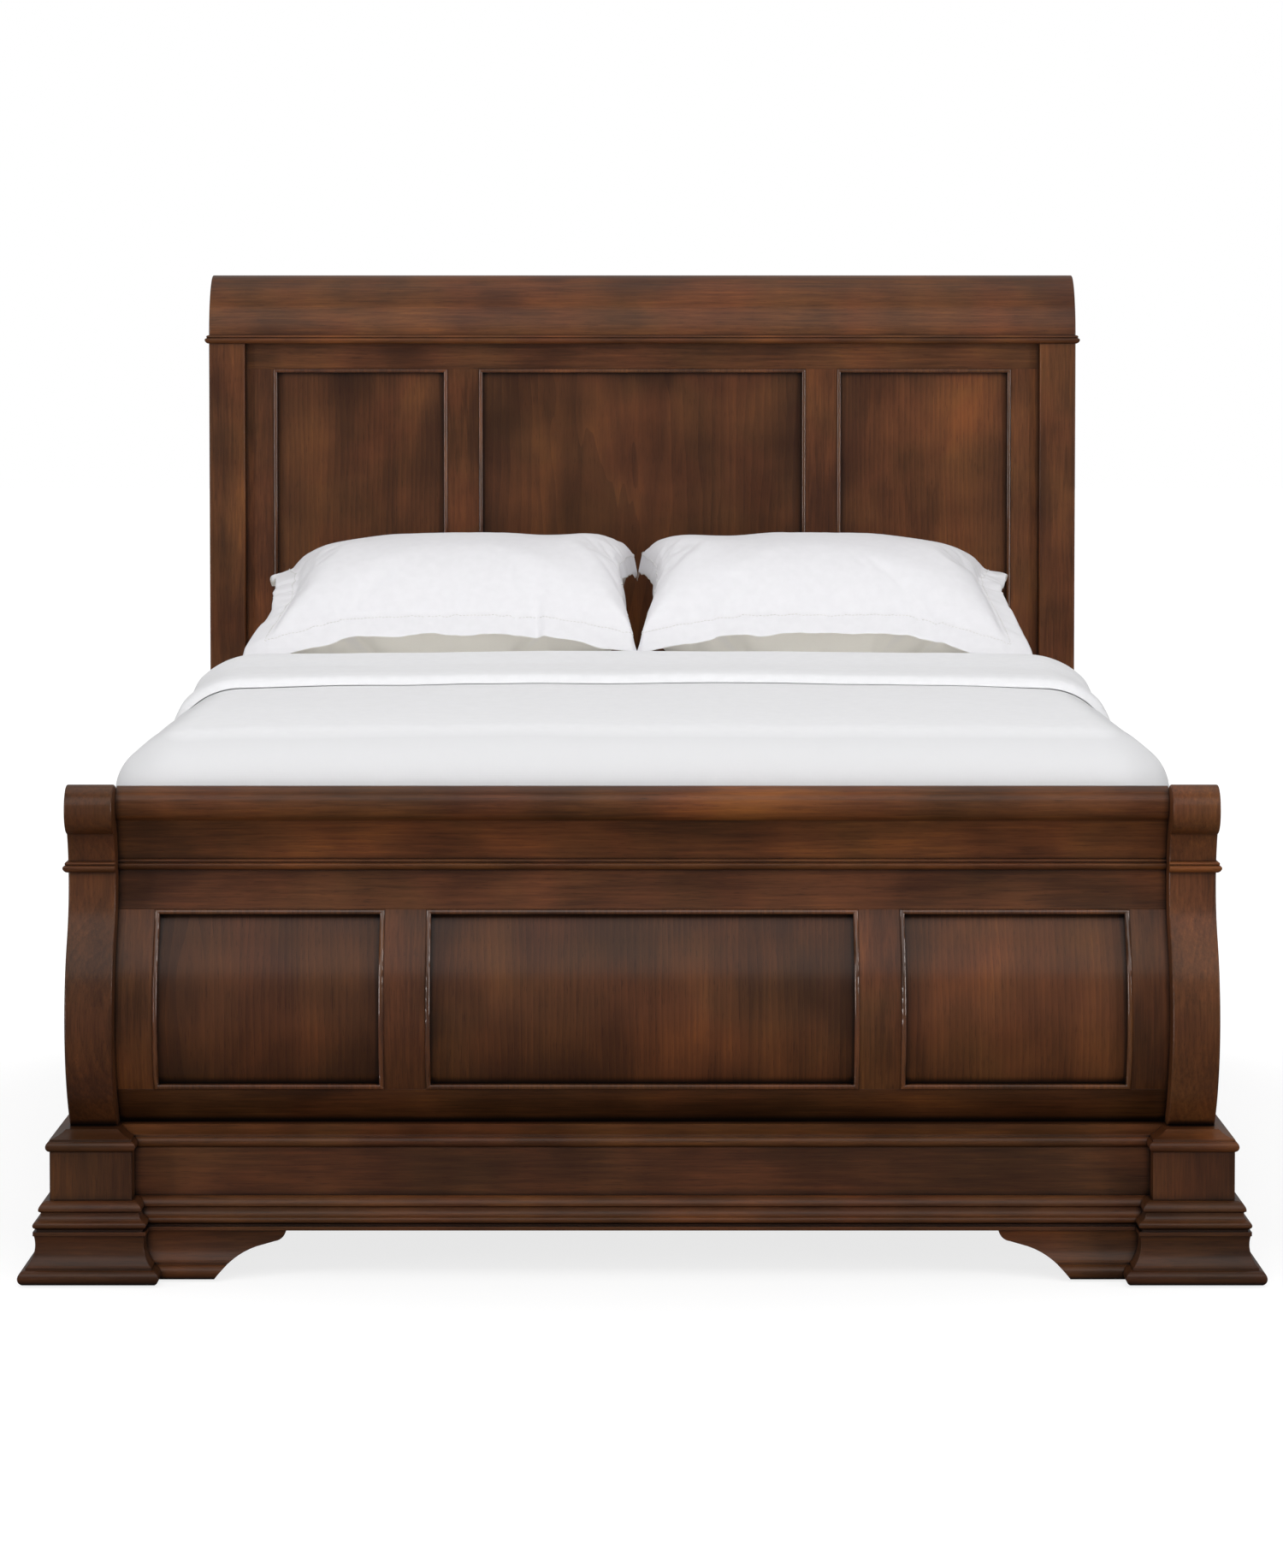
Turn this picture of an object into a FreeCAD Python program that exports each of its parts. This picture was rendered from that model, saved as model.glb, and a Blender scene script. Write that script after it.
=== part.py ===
import FreeCAD, Part
import math
import os

# Queen sleigh bed: panelled headboard, S-curved scroll footboard on moulded plinths, side rails with
# hook-on fasteners, slats with adjustable centre legs, foundation, mattress, duvet and two pillows.
#
# Frame: millimetres, +Z up, +Y from the foot to the head, +X to the right seen from the foot.
# The origin is at the bottom centre of the whole bed's box. In the footboard, "fwd" is the distance in
# front of the neck, the place where the S-curve of the post's front face lies furthest back.

V = FreeCAD.Vector
os.makedirs("parts", exist_ok=True)

# ---------------------------------------------------------------- driving dimensions
# plan
POST_OUTER = 825.0        # half the width over the posts
POST_WIDTH = 68.0
POST_INNER = POST_OUTER - POST_WIDTH
EASE = 2.0                # radius on the posts' and crest's edges
NECK_TO_HEAD = 2135.0     # neck of the foot posts to the front face of the head posts
CREST_DEPTH = 130.0
DIE_FWD = 50.0            # plinth die in front of the neck
BASE_OVERHANG = 42.0      # plinth foot beyond the die
LENGTH = DIE_FWD + BASE_OVERHANG + NECK_TO_HEAD + CREST_DEPTH
NECK_Y = DIE_FWD + BASE_OVERHANG - LENGTH / 2
HEAD_Y = NECK_Y + NECK_TO_HEAD

# heights
GLIDE = 3.0
FOOT_TOP = 70.8           # top of the flared foot, and underside of the base rail
MID_TOP = 118.5           # top of the middle moulding
DIE_TOP = 188.0
PLINTH_TOP = 217.5
SCROLL_TOP = 712.0
HEAD_POST_TOP = 1361.0
CREST_TOP = 1484.5

# S-curve of the footboard: a belly arc and a neck arc that meet in tangent
BELLY_FWD = 59.0
BELLY_R = 222.0
BELLY_Z = 370.0
NECK_Z = 572.0
BELLY_C = BELLY_FWD - BELLY_R
NECK_R = ((NECK_Z - BELLY_Z) ** 2 + BELLY_C ** 2 - BELLY_R ** 2) / (2 * BELLY_FWD)
POST_NECK = 66.0          # thickness of the post at the neck
POST_BACK = 100.0         # upright back face of the post, behind the neck
POST_BACK_TOP = 440.0

# scroll on top of the post, and the roll between the posts
SCROLL_R = 35.5
SCROLL_FWD = 15.7
ROLL_R = 26.0
ROLL_FWD = -22.0
ROLL_Z = 681.0
ROLL_SEAT = 658.0

# frame and panel work, head and foot
MUNTIN_IN = 312.0
MUNTIN_OUT = 372.0
STILE_IN = 704.0
PANEL_TONGUE = 7.0
STICK_W = 7.0             # panel moulding
STICK_PROUD = 2.5
STICK_ROUND = 2.6
FOOT_SET = 38.0           # foot frame behind the post's front face
FOOT_FRAME_T = 24.0
FOOT_PANEL_IN = 12.0
FOOT_PANEL_T = 6.0
FOOT_OPEN_LOW = 270.0
FOOT_OPEN_HIGH = 527.0
FOOT_RAIL_JOINT = 592.0
HEAD_SET = 22.0
HEAD_FRAME_T = 25.0
HEAD_PANEL_IN = 11.0
HEAD_PANEL_T = 6.0
HEAD_OPEN_LOW = 585.0
HEAD_OPEN_HIGH = 1305.0
HEAD_BOTTOM = 405.0
HEAD_POST_D = 62.0

# necking beads
BEAD_H = 16.0
BEAD_PROUD = 7.5
HEAD_BEAD_LOW = 1353.0
FOOT_BEAD_LOW = 584.0

# plinths and the base between them
DIE_IN = 731.0
DIE_OUT = 848.0
DIE_DEPTH = 220.0
CORE_SET = 14.0
BASE_SET = 42.5           # fascia behind the die
BASE_T = 22.0

# side rails, slats and centre legs
RAIL_IN = 775.0
RAIL_T = 25.0
RAIL_LOW = 222.0
RAIL_HIGH = 422.0
LEDGER_W = 25.0
LEDGER_H = 24.0
SLAT_T = 19.0
SLAT_W = 90.0
SLAT_COUNT = 3
SLAT_FIRST = 490.0        # behind the neck
SLAT_PITCH = 570.0
LEG_W = 45.0
LEG_LOW = 30.0
LEG_SCREW_X = 13.0
INSERT_R = 5.4
INSERT_H = 12.4
INSERT_RIM = 1.6
STEM_R = 4.0
STEM_H = 60.0
HEX_R = 7.5
HEX_H = 5.0
NUT_BORE_R = 4.05
PAD_R = 17.0
PAD_H = 8.0
PAD_SOCKET = 3.0

# bedding
BOX_W = 1508.0
BOX_L = 2016.0
BOX_H = 200.0
MATTRESS_W = 1524.0
MATTRESS_L = 2032.0
MATTRESS_H = 300.0
HEAD_TUCK = 10.0          # mattress beyond the face of the head posts, against the panels
DUVET_OUT = 786.0         # half width of the duvet where it rolls over the edge
DUVET_TUCK = 771.0        # half width where it is tucked inside the rails
DUVET_LOW = 440.0
DUVET_TOP = 780.0
DUVET_END_T = 12.0        # behind the footboard
DUVET_FOLD = 632.0        # head end of the duvet, from the headboard
FLAP_EDGE = 1050.0        # foot end of the turned-down flap, from the headboard
FLAP_T = 20.0
PILLOW_W = 700.0
PILLOW_L = 490.0
PILLOW_T = 165.0
PILLOW_LEAN = 14.0        # degrees
PILLOW_X = 372.0
PILLOW_BACK = 368.0       # middle of the pillow, from the headboard


# ---------------------------------------------------------------- helpers
def at(x, fwd, z):
    """A point of the footboard: fwd is in front of the neck."""
    return V(x, NECK_Y - fwd, z)


def box(x0, x1, y0, y1, z0, z1):
    return Part.makeBox(x1 - x0, y1 - y0, z1 - z0, V(x0, y0, z0))


def line(a, b):
    return Part.LineSegment(a, b).toShape()


def arc(a, m, b):
    return Part.Arc(a, m, b).toShape()


def solid_of(edges, travel):
    """The prism of a closed outline."""
    return Part.Face(Part.Wire(Part.__sortEdges__(edges))).extrude(travel)


def outline(spec, place):
    """Edges of an outline. spec holds points, and ("arc", middle, end) for a round stretch."""
    edges, here = [], spec[0]
    for step in spec[1:]:
        if step[0] == "arc":
            edges.append(arc(place(*here), place(*step[1]), place(*step[2])))
            here = step[2]
        elif step != here:
            edges.append(line(place(*here), place(*step)))
            here = step
    return edges


def cut_all(shape, tools):
    for tool in tools:
        shape = shape.cut(tool)
    return shape


def eased(shape, which, r=EASE):
    """The shape with the sharpness taken off the edges whose bounding box passes the test."""
    return shape.makeFillet(r, [e for e in shape.Edges if which(e.BoundBox)])


def mirrored_x(shape):
    return shape.mirror(V(0, 0, 0), V(1, 0, 0))


def mirrored_y(shape, y):
    return shape.mirror(V(0, y, 0), V(0, 1, 0))


def pieces(shapes):
    """One compound of the separate solids in shapes."""
    return Part.makeCompound([solid for shape in shapes for solid in shape.Solids])


def largest(shape):
    return max(shape.Solids, key=lambda s: s.Volume)


NODES = {}


def keep(name, shape):
    NODES[name] = shape


def keep_pair(name, right):
    """A part on the +X side and its mirror image on the -X side, as two nodes."""
    keep(name + "_right", right)
    keep(name + "_left", mirrored_x(right))


def keep_group(name, right):
    """Small identical pieces on both sides, as one node of separate solids."""
    keep(name, pieces([right, mirrored_x(right)]))


# ---------------------------------------------------------------- the S-curve
def belly_point(z, depth, setback):
    r = BELLY_R - depth
    return BELLY_C - setback + math.sqrt(r * r - (z - BELLY_Z) ** 2)


def neck_point(z, depth, setback):
    r = NECK_R + depth
    return NECK_R - setback - math.sqrt(r * r - (z - NECK_Z) ** 2)


def meet_z(depth):
    """Height at which the belly arc, offset into the wood by depth, meets the neck arc."""
    rise = (NECK_Z - BELLY_Z) / (BELLY_R + NECK_R)
    return BELLY_Z + (BELLY_R - depth) * rise


def sleigh_fwd(z, depth=0.0, setback=0.0):
    curve = belly_point if z < meet_z(depth) else neck_point
    return curve(z, depth, setback)


def sleigh_edges(x, z0, z1, depth=0.0, setback=0.0):
    """Arcs of the S-curve from z0 up to z1, in the plane at x."""
    stops = [z0, z1]
    if z0 < meet_z(depth) < z1:
        stops.insert(1, meet_z(depth))
    edges = []
    for low, high in zip(stops, stops[1:]):
        curve = belly_point if (low + high) / 2 < meet_z(depth) else neck_point
        a, m, b = (at(x, curve(z, depth, setback), z) for z in (low, (low + high) / 2, high))
        edges.append(arc(a, m, b))
    return edges


def sleigh_slab(x0, x1, z0, z1, depth0, depth1, setback=FOOT_SET):
    """A slab between two offsets of the S-curve, from x0 to x1 and z0 to z1."""
    front = sleigh_edges(x0, z0, z1, depth0, setback)
    back = sleigh_edges(x0, z0, z1, depth1, setback)
    f0, f1 = (at(x0, sleigh_fwd(z, depth0, setback), z) for z in (z0, z1))
    b0, b1 = (at(x0, sleigh_fwd(z, depth1, setback), z) for z in (z0, z1))
    return solid_of(front + [line(f1, b1)] + back + [line(b0, f0)], V(x1 - x0, 0, 0))


# ---------------------------------------------------------------- footboard posts
def foot_post():
    """Scrolled post: S-curved front, upright back below, comma-shaped scroll on top."""
    x = POST_INNER
    scroll_z = SCROLL_TOP - SCROLL_R
    back_r = NECK_R + POST_NECK
    # the rounding of the scroll's top, tangent to its crown and inside the back arc
    a, b = NECK_R - SCROLL_FWD, SCROLL_TOP - NECK_Z
    top_r = (a * a + b * b - back_r ** 2) / (2 * (b - back_r))
    top_c = (SCROLL_FWD, SCROLL_TOP - top_r)
    span = math.hypot(NECK_R - top_c[0], top_c[1] - NECK_Z)
    turn = math.atan2(top_c[1] - NECK_Z, top_c[0] - NECK_R)
    touch = (NECK_R + back_r * math.cos(turn), NECK_Z + back_r * math.sin(turn))
    half = (math.pi / 2 + turn) / 2
    top_mid = (top_c[0] + top_r * math.cos(half), top_c[1] + top_r * math.sin(half))
    assert abs(span + top_r - back_r) < 0.01
    # the neck arc runs up into the underside of the scroll
    under_z = scroll_z - SCROLL_R * 0.995
    for _ in range(20):
        gap = neck_point(under_z, 0, 0) - SCROLL_FWD
        under_z = scroll_z - math.sqrt(SCROLL_R ** 2 - gap * gap)
    front = sleigh_edges(x, PLINTH_TOP, under_z)
    under = at(x, neck_point(under_z, 0, 0), under_z)
    nose = at(x, SCROLL_FWD + SCROLL_R, scroll_z)
    crown = at(x, SCROLL_FWD, SCROLL_TOP)
    low_mid_z = (touch[1] + NECK_Z) / 2
    neck_back = at(x, -POST_NECK, NECK_Z)
    # S-blend from the neck's back to the upright back face
    rise, run = NECK_Z - POST_BACK_TOP, POST_BACK - POST_NECK
    blend_r = (rise * rise + run * run) / (4 * run)
    tilt = math.asin(rise / 2 / blend_r) / 2
    dip, drop = blend_r * (1 - math.cos(tilt)), blend_r * math.sin(tilt)
    middle = at(x, -(POST_NECK + POST_BACK) / 2, (NECK_Z + POST_BACK_TOP) / 2)
    edges = front + [
        arc(under, nose, crown),
        arc(crown, at(x, *top_mid), at(x, *touch)),
        arc(at(x, *touch), at(x, neck_point(low_mid_z, POST_NECK, 0), low_mid_z), neck_back),
        arc(neck_back, at(x, -POST_NECK - dip, NECK_Z - drop), middle),
        arc(middle, at(x, -POST_BACK + dip, POST_BACK_TOP + drop), at(x, -POST_BACK, POST_BACK_TOP)),
        line(at(x, -POST_BACK, POST_BACK_TOP), at(x, -POST_BACK, PLINTH_TOP)),
        line(at(x, -POST_BACK, PLINTH_TOP), at(x, sleigh_fwd(PLINTH_TOP), PLINTH_TOP)),
    ]
    body = solid_of(edges, V(POST_WIDTH, 0, 0))

    def on_front(box):
        return box.XLength < 0.1 and box.ZLength > 1 and box.YMax < neck_back.y and box.ZMax < under_z + 1

    def on_rest(box):
        return box.XLength < 0.1 and box.ZLength > 1 and not on_front(box)

    # the two runs of edges meet under the scroll at a sharp corner, so each is eased on its own
    body = eased(body, on_front).common(eased(body, on_rest))
    return body.fuse(post_tenon())


def post_tenon():
    """Tenon of the post, down through the plinth's cap into its block."""
    x = (POST_INNER + POST_OUTER) / 2
    return box(x - 18, x + 18, NECK_Y + 25, NECK_Y + 75, PLINTH_TOP - 70, PLINTH_TOP)


# ---------------------------------------------------------------- footboard frame and panels
def openings(low, high):
    """(name, x0, x1, z0, z1) of the three panel openings of a board."""
    return [
        ("left", -STILE_IN, -MUNTIN_OUT, low, high),
        ("centre", -MUNTIN_IN, MUNTIN_IN, low, high),
        ("right", MUNTIN_OUT, STILE_IN, low, high),
    ]


def mitred_sticks(slab_of, front_of, x0, x1, z0, z1):
    """Four mitred sticks with rounded faces, round an opening.

    slab_of makes the sticks' layer over x and z ranges; front_of gives the Y of its face at a height."""
    w, big = STICK_W, 2 * LENGTH

    def on_face(edge):
        ends = edge.FirstParameter, edge.LastParameter
        points = [edge.valueAt(t) for t in (ends[0], sum(ends) / 2, ends[1])]
        return all(abs(q.y - front_of(q.z)) < 0.01 for q in points)

    ring = slab_of(x0, x1, z0, z1).cut(box(x0 + w, x1 - w, -LENGTH, LENGTH, z0 + w, z1 - w))
    ring = ring.makeFillet(STICK_ROUND, [e for e in ring.Edges if on_face(e)])
    outer = [(x0, z0), (x1, z0), (x1, z1), (x0, z1)]
    inner = [(x0 + w, z0 + w), (x1 - w, z0 + w), (x1 - w, z1 - w), (x0 + w, z1 - w)]
    sticks = []
    for i in range(4):
        j = (i + 1) % 4
        loop = [outer[i], outer[j], inner[j], inner[i], outer[i]]
        prism = Part.Face(Part.makePolygon([V(x, -LENGTH, z) for x, z in loop])).extrude(V(0, big, 0))
        sticks.append(ring.common(prism))
    return sticks


def footboard():
    def stick_layer(x0, x1, z0, z1):
        return sleigh_slab(x0, x1, z0, z1, -STICK_PROUD, FOOT_PANEL_IN)

    def stick_face(z):
        return NECK_Y - sleigh_fwd(z, -STICK_PROUD, FOOT_SET)

    panels, sticks = {}, []
    for name, x0, x1, z0, z1 in openings(FOOT_OPEN_LOW, FOOT_OPEN_HIGH):
        t = PANEL_TONGUE
        panels[name] = sleigh_slab(
            x0 - t, x1 + t, z0 - t, z1 + t, FOOT_PANEL_IN, FOOT_PANEL_IN + FOOT_PANEL_T
        )
        keep("footboard_panel_" + name, panels[name])
        sticks += mitred_sticks(stick_layer, stick_face, x0, x1, z0, z1)
    keep("footboard_panel_mouldings", pieces(sticks))

    def member(x0, x1, z0, z1):
        return cut_all(sleigh_slab(x0, x1, z0, z1, 0, FOOT_FRAME_T), panels.values())

    x, low, high = POST_INNER, FOOT_OPEN_LOW, FOOT_OPEN_HIGH
    keep("footboard_bottom_rail", member(-x, x, PLINTH_TOP, low))
    keep("footboard_top_rail", member(-x, x, high, FOOT_RAIL_JOINT))
    keep("footboard_frieze", member(-x, x, FOOT_RAIL_JOINT, ROLL_SEAT))
    keep_group("footboard_stiles", member(STILE_IN, x, low, high))
    keep_group("footboard_muntins", member(MUNTIN_IN, MUNTIN_OUT, low, high))
    roll = Part.makeCylinder(ROLL_R, 2 * x, at(-x, ROLL_FWD, ROLL_Z), V(1, 0, 0))
    seat = box(-x, x, NECK_Y - ROLL_FWD - ROLL_R, NECK_Y - ROLL_FWD + ROLL_R, ROLL_Z - ROLL_R, ROLL_SEAT)
    keep("footboard_roll", roll.cut(seat))


# ---------------------------------------------------------------- necking beads
def bead_outline(low):
    """Beak-nosed bead: (how far proud, z) from its back edge."""
    top, nose = low + BEAD_H, BEAD_PROUD
    return [
        (-1.0, low), (1.0, low), ("arc", (nose - 2.2, low + 2.4), (nose, low + 6.5)),
        ("arc", (nose - 0.6, low + 8.8), (nose - 2.6, low + 10)), (3.4, low + 11),
        ("arc", (4.6, low + 13.2), (2.6, top - 0.6)), (1.6, top), (-1.0, top), (-1.0, low),
    ]


def bead_run(low, face_x, front_y, back_y):
    """Bead along the front of a face and round its outer side, mitred: x from 0 to face_x."""
    reach = BEAD_PROUD + 2
    front = solid_of(outline(bead_outline(low), lambda o, z: V(-reach, front_y - o, z)),
                     V(face_x + 2 * reach, 0, 0))
    side = solid_of(outline(bead_outline(low), lambda o, z: V(face_x + o, front_y - reach, z)),
                    V(0, back_y - front_y + reach, 0))
    far = 40.0
    wedge = [V(face_x, front_y, low - far), V(face_x + far, front_y - far, low - far),
             V(face_x - face_x - far, front_y - far, low - far), V(-far, front_y, low - far),
             V(face_x, front_y, low - far)]
    ahead = Part.Face(Part.makePolygon(wedge)).extrude(V(0, 0, 3 * far))
    return front.common(ahead), side.cut(ahead)


def beads():
    # headboard: one stick across the front, and a return round each post
    front, side = bead_run(HEAD_BEAD_LOW, POST_OUTER, HEAD_Y, HEAD_Y + HEAD_POST_D)
    half = front.common(box(0, POST_OUTER + 60, HEAD_Y - 60, HEAD_Y, 0, CREST_TOP))
    whole = half.fuse(mirrored_x(half)).removeSplitter()
    wood_side = side.common(box(POST_OUTER, POST_OUTER + 60, 0, LENGTH, 0, CREST_TOP))
    keep("headboard_bead", pieces([whole, wood_side, mirrored_x(wood_side)]))
    # footboard: a front and a return on each post, and one stick across the frieze
    post = NODES["footboard_post_right"]
    face_y = NECK_Y - sleigh_fwd(FOOT_BEAD_LOW + BEAD_H)
    front, side = bead_run(FOOT_BEAD_LOW, POST_OUTER, face_y, NECK_Y + POST_NECK - 2)
    on_post = front.common(box(POST_INNER, POST_OUTER + 60, face_y - 60, face_y + 60, 0, CREST_TOP))
    deeper = box(POST_INNER, POST_OUTER, face_y, face_y + 5, FOOT_BEAD_LOW, FOOT_BEAD_LOW + BEAD_H)
    on_post = on_post.fuse(deeper).cut(post).removeSplitter()
    on_side = side.cut(box(0, POST_OUTER, -LENGTH, LENGTH, 0, CREST_TOP))
    back_y = face_y + FOOT_SET
    across = solid_of(outline(bead_outline(FOOT_BEAD_LOW), lambda o, z: V(-POST_INNER, back_y - o, z)),
                      V(2 * POST_INNER, 0, 0))
    pad = box(-POST_INNER, POST_INNER, back_y, back_y + 5, FOOT_BEAD_LOW, FOOT_BEAD_LOW + BEAD_H)
    across = cut_all(across.fuse(pad), [NODES["footboard_top_rail"], NODES["footboard_frieze"]])
    right = [on_post, on_side]
    keep("footboard_bead", pieces([across.removeSplitter()] + right + [mirrored_x(s) for s in right]))


# ---------------------------------------------------------------- plinths and base
# outlines are (overhang beyond the die or fascia, z)
CAP = [(-21.0, PLINTH_TOP), ("arc", (-10.5, 209.5), (-1.5, 206.0)), (0.0, 206.0), (0.0, 203.0),
       ("arc", (5.7, 195.5), (0.0, DIE_TOP))]
MID = [(4.0, MID_TOP), ("arc", (11.0, 114.8), (15.0, 108.0)), (15.0, 105.0), (11.8, 103.0),
       ("arc", (13.0, 95.5), (19.0, 90.0)), ("arc", (22.4, 85.5), (19.5, 81.0)), (17.2, 79.5),
       (17.2, 76.5), (22.0, 76.5), (22.0, FOOT_TOP)]
FOOT = [(20.5, FOOT_TOP), ("arc", (19.6, 50.0), (29.0, 29.0)), (31.5, 27.0), (31.5, 24.0),
        (35.0, 23.0), ("arc", (BASE_OVERHANG, 13.0), (36.0, GLIDE))]


def stepped(spec, back):
    """Closed outline from a moulding's face: spec runs down the face, back closes it."""
    top, last = spec[0], spec[-1]
    low = last[2] if last[0] == "arc" else last
    return spec + [(back, low[1]), (back, top[1]), top]


def mirrored_spec(spec, width):
    """The same moulding on the far side of a block of the given width, running upwards."""
    points, steps = [spec[0]], []
    for step in spec[1:]:
        steps.append(step)
        points.append(step[2] if step[0] == "arc" else step)
    far = [(-width - points[-1][0], points[-1][1])]
    for i in range(len(steps) - 1, -1, -1):
        end = (-width - points[i][0], points[i][1])
        if steps[i][0] == "arc":
            far.append(("arc", (-width - steps[i][1][0], steps[i][1][1]), end))
        else:
            far.append(end)
    return far


def moulded_block(spec):
    """A block with the moulding on all four sides of the right-hand plinth: two prisms crossed."""
    width, depth = DIE_OUT - DIE_IN, DIE_DEPTH
    reach = BASE_OVERHANG + 10
    y0 = NECK_Y - DIE_FWD

    def closed(w):
        return spec + mirrored_spec(spec, w) + [spec[0]]

    along = solid_of(outline(closed(width), lambda o, z: V(DIE_OUT + o, y0 - reach, z)),
                     V(0, depth + 2 * reach, 0))
    across = solid_of(outline(closed(depth), lambda o, z: V(DIE_IN - reach, y0 - o, z)),
                      V(width + 2 * reach, 0, 0))
    return along.common(across)


def plinths():
    y0, y1 = NECK_Y - DIE_FWD, NECK_Y - DIE_FWD + DIE_DEPTH
    c = CORE_SET
    die = box(DIE_IN, DIE_OUT, y0, y1, MID_TOP, DIE_TOP)
    core = box(DIE_IN + c, DIE_OUT - c, y0 + c, y1 - c, GLIDE, MID_TOP)
    tenon = post_tenon()
    keep_pair("plinth_block", die.fuse(core).removeSplitter().cut(tenon))
    keep_group("plinth_caps", moulded_block(CAP).cut(tenon))
    keep_group("plinth_middle_mouldings", moulded_block(MID).cut(core))
    keep_pair("plinth_foot", moulded_block(FOOT).cut(core))


def bracket_prism():
    """Region of the right-hand bracket foot, in X and Z: an ogee from the base rail to the floor."""
    inner, toe, top = 512.0, 614.0, FOOT_TOP
    spec = [(DIE_OUT, top), (inner, top), ("arc", (inner + 5.0, 60.5), (inner + 16.0, 55.0)),
            (inner + 32.0, 50.5), ("arc", (inner + 76.0, 30.0), (toe, GLIDE)), (DIE_OUT, GLIDE),
            (DIE_OUT, top)]
    edges = outline(spec, lambda x, z: V(x, -LENGTH, z))
    return Part.Face(Part.Wire(edges)).extrude(V(0, 2 * LENGTH, 0))


def base():
    """Fascia, cap and middle moulding between the plinths, coped to them, and the bracket feet."""
    x, face_y = DIE_OUT - 60, NECK_Y - DIE_FWD + BASE_SET
    tools = [shape for name, shape in NODES.items() if name.startswith("plinth_")]

    def run(spec, back):
        edges = outline(stepped(spec, back), lambda o, z: V(-x, face_y - o, z))
        return solid_of(edges, V(2 * x, 0, 0))

    fascia = box(-x, x, face_y, face_y + BASE_T, FOOT_TOP, DIE_TOP)
    keep("base_fascia", largest(cut_all(fascia, tools)))
    back = sleigh_fwd(PLINTH_TOP, FOOT_FRAME_T, FOOT_SET) - (DIE_FWD - BASE_SET)
    keep("base_cap_moulding", largest(cut_all(run(CAP, back), tools)))
    keep("base_middle_moulding", largest(cut_all(run(MID, 0.0), tools)))
    bracket = run(FOOT, -BASE_T).common(bracket_prism())
    keep_group("bracket_feet", largest(cut_all(bracket, tools)))
    block = box(640.0, DIE_IN, face_y + BASE_T, face_y + BASE_T + 40, GLIDE, MID_TOP)
    keep_group("corner_blocks", largest(cut_all(block, tools)))


# ---------------------------------------------------------------- headboard
def headboard():
    y0, y1 = HEAD_Y + HEAD_SET, HEAD_Y + HEAD_SET + HEAD_FRAME_T
    panel_y = y0 + HEAD_PANEL_IN

    def stick_layer(a, b, low, high):
        return box(a, b, y0 - STICK_PROUD, panel_y, low, high)

    def stick_face(z):
        return y0 - STICK_PROUD

    panels, sticks = {}, []
    for name, x0, x1, z0, z1 in openings(HEAD_OPEN_LOW, HEAD_OPEN_HIGH):
        t = PANEL_TONGUE
        panels[name] = box(x0 - t, x1 + t, panel_y, panel_y + HEAD_PANEL_T, z0 - t, z1 + t)
        keep("headboard_panel_" + name, panels[name])
        sticks += mitred_sticks(stick_layer, stick_face, x0, x1, z0, z1)
    keep("headboard_panel_mouldings", pieces(sticks))

    def member(x0, x1, z0, z1):
        return cut_all(box(x0, x1, y0, y1, z0, z1), panels.values())

    x, low, high = POST_INNER, HEAD_OPEN_LOW, HEAD_OPEN_HIGH
    keep("headboard_bottom_rail", member(-x, x, HEAD_BOTTOM, low))
    keep("headboard_top_rail", member(-x, x, high, HEAD_POST_TOP))
    keep_group("headboard_stiles", member(STILE_IN, x, low, high))
    keep_group("headboard_muntins", member(MUNTIN_IN, MUNTIN_OUT, low, high))
    post = box(x, POST_OUTER, HEAD_Y, HEAD_Y + HEAD_POST_D, GLIDE, HEAD_POST_TOP)
    keep_pair("headboard_post", eased(post, lambda box: box.ZLength > 100))
    keep("headboard_crest", crest())


def crest():
    """Full-width crest: a quarter-ellipse face that rolls back over a scroll."""
    top_y, scroll_r, x = 92.0, 38.0, POST_OUTER

    def p(y, z):
        return V(-x, HEAD_Y + y, z)

    curve = Part.Ellipse(p(top_y, CREST_TOP), p(0, HEAD_POST_TOP), p(top_y, HEAD_POST_TOP))
    scroll_z = CREST_TOP - scroll_r
    edges = [
        Part.ArcOfEllipse(curve, 0, math.pi / 2).toShape(),
        arc(p(top_y, CREST_TOP), p(top_y + scroll_r, scroll_z), p(top_y, scroll_z - scroll_r)),
        arc(p(top_y, scroll_z - scroll_r), p(70.0, 1402.0), p(HEAD_POST_D, 1385.0)),
        line(p(HEAD_POST_D, 1385.0), p(HEAD_POST_D, HEAD_POST_TOP)),
        line(p(HEAD_POST_D, HEAD_POST_TOP), p(0, HEAD_POST_TOP)),
    ]
    # the ends' edges are eased from the foot of the face to the back of the scroll
    return eased(solid_of(edges, V(2 * x, 0, 0)), lambda box: box.XLength < 0.1 and box.ZMax > CREST_TOP - 1)


# ---------------------------------------------------------------- side rails and their fasteners
RAIL_FOOT_Y = NECK_Y + POST_BACK
RAIL_MID_Y = (RAIL_FOOT_Y + HEAD_Y) / 2
PLATE_T = 2.5
PLATE_W = 18.0
PLATE_H = 130.0
HOOK_T = 2.4
HOOK_ZS = (-32.0, 28.0)   # hooks, from the middle of the plate
POST_SCREW_ZS = (-57.0, -2.0, 59.0)
RAIL_SCREW_ZS = (-56.0, 58.0)


def at_four_corners(shape):
    """A fitting of the right-hand rail's head end, and its three mirror images."""
    right = [shape, mirrored_y(shape, RAIL_MID_Y)]
    return right + [mirrored_x(s) for s in right]


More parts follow.
